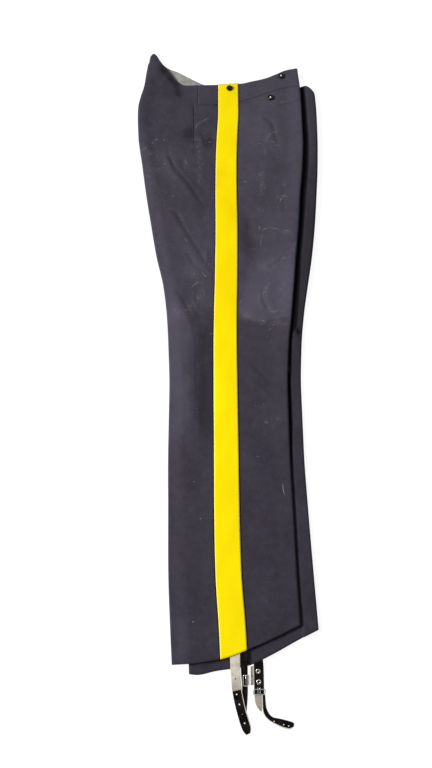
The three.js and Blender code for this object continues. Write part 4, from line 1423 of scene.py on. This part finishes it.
# The tongue and the prongs: places across, then the places along with their height, and half the width
RIGHT_TONGUE = {"across": (0,), "along": ((-8.2, 0.2), (-4, 0.9), (2, 0.9), (8, 0.5)), "half": 0.55}
LEFT_PRONGS = {"across": (-2.4, 1.2), "along": ((-3.4, 0.2), (0, 0.7), (4, 0.7), (7, 0.3)), "half": 0.6}
PRONG_HIGH = 0.5

EYELETS = {"left_eyelet_upper": (68.3, -484.2), "left_eyelet_lower": (69.2, -500)}
EYELET = {"radius": 2.85, "half_wide": 1.15, "half_high": 0.55, "lift": 0.45, "reach": 4, "steps": 32}

# Buttons: the profile's radius and height, the holes, and the two arches of thread through them
BUTTON_PROFILE = (
    (0, 0.1), (4.8, 0), (6.0, 0.3), (6.8, 1.1), (7.0, 2.0), (6.8, 2.9), (6.3, 3.6), (5.6, 4.0), (4.9, 3.95),
    (4.2, 3.55), (3.6, 3.1), (3.1, 2.95), (0, 2.9),
)
BUTTON_STEPS = 48
BUTTON_HOLES = ((-1.3, -1.3), (1.3, -1.3), (1.3, 1.3), (-1.3, 1.3))
BUTTON_HOLE_RADIUS = 0.75
BUTTON_ARCH = {
    "foot": 1.6, "rise": 2.1, "over": 0.3, "half_wide": 0.8, "half_high": 0.6, "steps": 9, "sides": 8,
}
# The front buttons' thread is real thread, made pale and wide as a painted highlight standing for their glints
BUTTONS = {
    "button_side": ("dark_thread", "black_button"),
    "button_front_upper": ("pale_thread_glint", "pale_lining"),
    "button_front_lower": ("pale_thread_glint", "pale_lining"),
}


def rounded_frame(width, height, corner, count=7):
    """A closed path round a rectangle with round corners."""
    corners = ((1, 1, 0), (-1, 1, 90), (-1, -1, 180), (1, -1, 270))
    points = []
    for way_x, way_y, start in corners:
        for angle in np.radians(np.linspace(start, start + 90, count)):
            x = way_x * (width / 2 - corner) + corner * math.cos(angle)
            points.append((x, way_y * (height / 2 - corner) + corner * math.sin(angle), 0))
    return points


def lay_on(surface, rows, x, y, reach, lift):
    """Lays a level surface on a strap, tilted to its slope, with its middle at a place."""
    low, high = strap_height(rows, y - reach), strap_height(rows, y + reach)
    slope = math.atan2(high - low, 2 * reach)
    ahead = surface[..., 1] * math.cos(slope) - (surface[..., 2] + lift) * math.sin(slope)
    above = surface[..., 1] * math.sin(slope) + (surface[..., 2] + lift) * math.cos(slope)
    base = (low + high) / 2 + (STRAP_THICK + SEAM) / math.cos(slope)
    return to_row(np.stack([surface[..., 0] + x, ahead + y, above + base], axis=-1))


def metal_piece(node, surfaces, rows, x, y, reach, lift):
    bm = bmesh.new()
    for surface in surfaces:
        add_surface(bm, lay_on(surface, rows, x, y, reach, lift))
    color = tuple(bpy.context.scene.trousers_straps.metal_color)
    metal = material("strap_metal", lambda: metal_material(color))
    return dress(finish_mesh(bm, f"{node}_metal", metal), node)


def button_disc(node, middle):
    """A button with a round rim, a dish and four holes."""
    turns = np.linspace(0, 2 * math.pi, BUTTON_STEPS + 1)
    lathe = [[(r * math.cos(a), r * math.sin(a), z) for a in turns] for r, z in BUTTON_PROFILE]
    bm = bmesh.new()
    add_surface(bm, np.array(lathe) * MM + middle)
    black = material("black_button", lambda: button_material(BUTTON_COLOR))
    piece = finish_mesh(bm, f"{node}_disc", black)
    sheet_x, sheet_y = middle[:2] / MM + (SHEET_X, SHEET_Y)
    punch(piece, [(sheet_x + x, sheet_y + y) for x, y in BUTTON_HOLES], BUTTON_HOLE_RADIUS)
    dress(piece, node)


def button_thread(node, middle, thread_name):
    """Two crossed arches of thread through a button's holes."""
    arch = BUTTON_ARCH
    bm = bmesh.new()
    for start, end in ((0, 2), (1, 3)):
        share = np.linspace(0, 1, arch["steps"])[:, None]
        ends = np.array([BUTTON_HOLES[start], BUTTON_HOLES[end]], float)
        path = ends[0] + (ends[1] - ends[0]) * share
        height = arch["foot"] + arch["rise"] * np.sqrt(1 - (2 * share - 1) ** 2) + arch["over"] * start
        path = np.concatenate([path, height], axis=1)
        add_surface(bm, tube(path, arch["half_wide"], arch["half_high"], arch["sides"]) * MM + middle)
    sewn = finish_mesh(bm, f"{node}_thread", thread(thread_name))
    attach(sewn, "root")


def buckle_piece(node, rows, buckle, prongs):
    half = METAL_THICK / 2
    path = rounded_frame(buckle["width"], buckle["height"], buckle["corner"])
    bars = [tube(path, buckle["bar"], half, closed=True)]
    for x in prongs["across"]:
        bars.append(tube([(x, y, z) for y, z in prongs["along"]], prongs["half"], PRONG_HIGH))
    metal_piece(node, bars, rows, buckle["x"], buckle["y"], buckle["reach"], half)


class TROUSERS_OT_fittings(bpy.types.Operator):
    """Make the buttons, buckles and eyelets."""

    bl_idname = "trousers.fittings"
    bl_label = "Buttons and buckles"

    def execute(self, context):
        buckle_piece("right_buckle", RIGHT_BUCKLE_STRAP, RIGHT_BUCKLE, RIGHT_TONGUE)
        buckle_piece("left_buckle", LEFT_BUCKLE_STRAP, LEFT_BUCKLE, LEFT_PRONGS)
        radius, reach, lift = EYELET["radius"], EYELET["reach"], EYELET["lift"]
        turns = np.linspace(0, 2 * math.pi, EYELET["steps"] + 1)[:-1]
        circle = [(radius * math.cos(a), radius * math.sin(a), 0) for a in turns]
        ring = tube(circle, EYELET["half_wide"], EYELET["half_high"], closed=True)
        for node, (x, y) in EYELETS.items():
            metal_piece(node, [ring], LEFT_BUCKLE_STRAP, x, y, reach, lift)
        for node, (thread_name, slot) in BUTTONS.items():
            low, high = (np.array(corner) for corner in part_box(node))
            middle = np.array([*(low + high)[:2] / 2, low[2]])
            button_disc(node, middle)
            button_thread(node, middle, thread_name)
        return {"FINISHED"}


# Stitching: the length from one stitch to the next, the share of it that shows, a stitch's half width and
# half height, and how high its middle lies above the cloth
STITCH_STEP = 3.2
STITCH_SHARE = 0.72
STITCH_WIDE = 0.36
STITCH_HIGH = 0.2
STITCH_LIFT = 0.05

# Where the rows are: how far from the stripe's middle, and in from its ends, at about STRIPE_X. Then the
# waistband's stretches on both sides of the stripe, and how far from its lower and upper edge.
STRIPE_ROWS_AT = (-20.2, 20.2)
STRIPE_X = 27
STRIPE_ENDS_IN = 2
WAIST_STRETCHES = ((-38, 2), (53, 176))
WAIST_ROWS_AT = ((seam_right, 2.5), (top_right, -3.5))

BALL_RINGS = 4
BALL_SIDES = 6


def stitch_piece(name, rows, finish):
    """Rows of stitches, each a small rounded bar that lies along its row."""
    bm = bmesh.new()
    steep = np.linspace(0, math.pi, BALL_RINGS + 1)[:, None]
    turn = np.linspace(0, 2 * math.pi, BALL_SIDES + 1)[None, :]
    around = np.sin(steep)
    ball = np.stack([np.cos(steep) + 0 * turn, around * np.cos(turn), around * np.sin(turn)], axis=-1)
    for row in rows:
        for start, end in zip(row, row[1:]):
            along = end - start
            across = np.cross((0, 0, 1), along)
            across /= np.linalg.norm(across)
            above = np.cross(along, across)
            above /= np.linalg.norm(above)
            axes = np.array([along * STITCH_SHARE / 2, across * STITCH_WIDE, above * STITCH_HIGH])
            add_surface(bm, to_row(ball @ axes + (start + end) / 2))
    piece = finish_mesh(bm, name, finish)
    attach(piece, "root")


def on_right(x, y, lift):
    return np.stack([x, y, right_outer(x, y) + CLOTH / 2 + lift], axis=-1)


class TROUSERS_OT_sewing(bpy.types.Operator):
    """Make the stitching of the stripe and the waistband."""

    bl_idname = "trousers.sewing"
    bl_label = "Stitching"

    def execute(self, context):
        rows = []
        for offset in STRIPE_ROWS_AT:
            low = float(hem_right(STRIPE_X + offset)) + STRIPE_ENDS_IN
            high = float(top_right(STRIPE_X + offset)) - STRIPE_ENDS_IN
            y = np.arange(low, high, STITCH_STEP)
            rows.append(on_right(outline["side"](y) + offset, y, STRIPE_STEP + STITCH_LIFT))
        stitch_piece("stripe_stitches", rows, thread("yellow_thread"))
        rows = []
        for start, end in WAIST_STRETCHES:
            x = np.arange(start, end, STITCH_STEP)
            for edge, offset in WAIST_ROWS_AT:
                rows.append(on_right(x, edge(x) + offset, STITCH_LIFT))
        stitch_piece("waist_stitches", rows, thread("navy_thread"))
        return {"FINISHED"}


# Lint on the right leg, each thread with its middle, length, direction in degrees, bend and width
LINT = (
    (-126.3, 541, 8, 15, 2, 0.8), (-110, 541, 6, 60, 1.5, 0.6), (-134, 534, 5, -30, -1, 0.6),
    (-108.2, 479.7, 5, -45, 1, 0.8), (-148.4, 517.2, 5, 70, 1, 0.7), (-14, 540, 5, -50, 1, 1.0),
    (60.3, 439.2, 8, 10, -1.5, 0.6), (134.8, 394.8, 9, 60, 2, 0.8), (139, 402, 6, -20, 1, 0.6),
    (86.4, 329.3, 9, 75, -2, 0.6), (103.2, 107.6, 7, 30, 1.5, 0.5), (90.9, -73.9, 6, -30, 1.5, 0.5),
    (-26.9, -243.8, 4, 40, 0.5, 0.5), (-39.5, -180.3, 4, -20, 0.5, 0.5), (-37.9, -409, 3, 20, 0.3, 0.8),
    (119.4, -193, 20, 97, 1.5, 0.8), (65.9, 669, 2, 50, 0.2, 1.2), (143.2, 642, 2.5, 20, 0.2, 1.0),
    (125, 644, 2, 80, 0.2, 0.8), (-36, 583, 26, 62, 6, 0.5), (-22, 598, 20, 25, 3, 0.5),
    (100, 180, 26, 80, 9, 0.5), (112, 150, 22, 10, -5, 0.4), (-40, 200, 24, 40, 4, 0.5),
    (-22, 226, 18, 130, 3, 0.5), (50, 165, 16, 60, 3, 0.4), (92, 300, 34, 85, 2, 0.4),
    (-62, 490, 14, -80, -3, 0.4), (140, 140, 10, 20, 2, 0.4), (-62, 300, 12, -60, 2, 0.3),
)

# More lint is scattered over fields, each given as a count, then left, right, low and high. The ranges are
# those of a thread's length, bend and width.
LINT_FIELDS = (
    (50, -150, -10, 420, 600), (30, -110, -8, 250, 420), (40, 46, 165, 300, 560), (24, 46, 160, 120, 300),
    (22, -85, -8, -60, 250), (16, 46, 135, -150, 120), (14, -78, 130, -440, -60),
)
LINT_SEED = 11
FIELD_LINT = {"length": (1.2, 5.5), "bend": (-1, 1), "width": (0.1, 0.3)}

# And along each stroke of dust: how many threads, and how far from it in place and in direction
DUST_LINT = {
    "count": 9, "spread": 0.6, "turn": 30, "length": (3, 9), "bend": (-1.5, 1.5), "width": (0.15, 0.4),
}

# Lint stays this far inside the creases and beside the stripe
LINT_IN = 8
LINT_BESIDE = 3
LINT_LIFT = 0.25
LINT_POINTS = 5
LINT_BLUNT = 1.05


def field_lint(chance, field):
    count, left, right, low, high = field
    for _ in range(count):
        x, y = chance.uniform(left, right), chance.uniform(low, high)
        length, turn = chance.uniform(*FIELD_LINT["length"]), chance.uniform(0, 180)
        yield x, y, length, turn, chance.uniform(*FIELD_LINT["bend"]), chance.uniform(*FIELD_LINT["width"])


def dust_lint(chance, reach, path):
    for _ in range(DUST_LINT["count"]):
        step = chance.randrange(len(path) - 1)
        (start_x, start_y), (end_x, end_y) = path[step : step + 2]
        share, turn = chance.random(), math.degrees(math.atan2(end_y - start_y, end_x - start_x))
        x = start_x + (end_x - start_x) * share + chance.gauss(0, reach * DUST_LINT["spread"])
        y = start_y + (end_y - start_y) * share + chance.gauss(0, reach * DUST_LINT["spread"])
        length, bend = chance.uniform(*DUST_LINT["length"]), chance.uniform(*DUST_LINT["bend"])
        turn += chance.gauss(0, DUST_LINT["turn"])
        yield x, y, length, turn, bend, chance.uniform(*DUST_LINT["width"])


def shows(x, y):
    """Whether a place is well inside the right leg's creases and clear of the stripe."""
    inside = outline["back"](y) + LINT_IN < x < outline["front"](y) - LINT_IN
    return inside and abs(x - outline["side"](y)) > STRIPE_WIDTH / 2 + LINT_BESIDE


def lint_threads():
    threads = list(LINT)
    chance = random.Random(LINT_SEED)
    for field in LINT_FIELDS:
        threads.extend(field_lint(chance, field))
    for reach, amount, path in STROKES:
        if amount > 0:
            threads.extend(dust_lint(chance, reach, path))
    return [made for made in threads if shows(made[0], made[1])]


class TROUSERS_OT_lint(bpy.types.Operator):
    """Make the loose pale threads that cling to the wool."""

    bl_idname = "trousers.lint"
    bl_label = "Lint"

    def execute(self, context):
        bm = bmesh.new()
        share = np.linspace(-0.5, 0.5, LINT_POINTS)
        for x, y, length, turn, bend, width in lint_threads():
            along = np.array([math.cos(math.radians(turn)), math.sin(math.radians(turn))])
            across = np.array([-along[1], along[0]])
            line = np.outer(share * length, along) + np.outer(bend * (1 - 4 * share**2), across)
            thin = width / 2 * np.sqrt(LINT_BLUNT - 4 * share**2)
            edges = [line + across * thin[:, None] * way for way in (-1, 1)]
            flat = np.stack(edges, axis=1) + (x, y)
            add_surface(bm, to_row(on_right(flat[..., 0], flat[..., 1], LINT_LIFT)))
        piece = finish_mesh(bm, "lint", thread("lint"))
        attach(piece, "root")
        return {"FINISHED"}


CAMERA_PLACE = (-0.0254, -0.390, 1.0)
CAMERA_TARGET = (-0.0254, -0.099, 0.011)
KEY_PLACE = (-2.2, -0.1, 1.75)
KEY_SIZE = 0.7
FLOOR_GLOW = 0.9
FLOOR_SIZE = 6


class TROUSERS_OT_stage(bpy.types.Operator):
    """Make the floor, the lights and the camera."""

    bl_idname = "trousers.stage"
    bl_label = "Stage"

    def execute(self, context):
        stage = context.scene.trousers_stage
        bm = bmesh.new()
        bmesh.ops.create_grid(bm, x_segments=1, y_segments=1, size=FLOOR_SIZE)
        mesh = bpy.data.meshes.new("floor")
        bm.to_mesh(mesh)
        bm.free()
        shader = Shader(
            "pale_floor", Roughness=0.9, Base_Color=rgb(FLOOR_COLOR), Emission_Color=(1, 1, 1, 1),
            Emission_Strength=FLOOR_GLOW,
        )
        mesh.materials.append(shader.material)
        link(mesh, "floor")
        context.scene.view_settings.view_transform = "Standard"

        world = bpy.data.worlds.new("sky")
        world.use_nodes = True
        world.node_tree.nodes["Background"].inputs[0].default_value = (1, 1, 1, 1)
        world.node_tree.nodes["Background"].inputs[1].default_value = stage.sky
        context.scene.world = world

        light = bpy.data.lights.new("key", "AREA")
        light.energy = stage.key_power
        light.size = KEY_SIZE
        key = bpy.data.objects.new("key", light)
        key.location = KEY_PLACE
        key.rotation_euler = (Vector((0, 0, 0)) - key.location).to_track_quat("-Z", "Y").to_euler()
        context.scene.collection.objects.link(key)

        lens = bpy.data.cameras.new("camera")
        lens.lens = stage.lens
        camera = bpy.data.objects.new("camera", lens)
        camera.location = CAMERA_PLACE
        aim = Vector(CAMERA_TARGET) - camera.location
        camera.rotation_euler = aim.to_track_quat("-Z", "Y").to_euler()
        context.scene.collection.objects.link(camera)
        context.scene.camera = camera
        return {"FINISHED"}


class TROUSERS_PT_panel(bpy.types.Panel):
    """Buttons that make the trousers and their stage."""

    bl_idname = "TROUSERS_PT_panel"
    bl_label = "Trousers"
    bl_space_type = "VIEW_3D"
    bl_region_type = "UI"
    bl_category = "Trousers"

    def draw(self, context):
        for operator in OPERATORS:
            self.layout.operator(operator.bl_idname)
        for name in GROUPS:
            group = getattr(context.scene, name)
            for key in group.__annotations__:
                self.layout.prop(group, key)


OPERATORS = (
    TROUSERS_OT_left_leg,
    TROUSERS_OT_right_leg,
    TROUSERS_OT_lining,
    TROUSERS_OT_straps,
    TROUSERS_OT_fittings,
    TROUSERS_OT_sewing,
    TROUSERS_OT_lint,
    TROUSERS_OT_stage,
)
GROUPS = {
    "trousers_cloth": TrousersCloth,
    "trousers_straps": TrousersStraps,
    "trousers_stage": TrousersStage,
}


def register():
    for made in (*GROUPS.values(), *OPERATORS, TROUSERS_PT_panel):
        bpy.utils.register_class(made)
    for name, group in GROUPS.items():
        setattr(bpy.types.Scene, name, PointerProperty(type=group))


def unregister():
    for name in GROUPS:
        delattr(bpy.types.Scene, name)
    for made in reversed((*GROUPS.values(), *OPERATORS, TROUSERS_PT_panel)):
        bpy.utils.unregister_class(made)


def main():
    register()
    bpy.ops.trousers.stage()
    bpy.ops.trousers.left_leg()
    bpy.ops.trousers.right_leg()
    bpy.ops.trousers.lining()
    bpy.ops.trousers.straps()
    bpy.ops.trousers.fittings()
    bpy.ops.trousers.sewing()
    bpy.ops.trousers.lint()


if __name__ == "__main__":
    main()
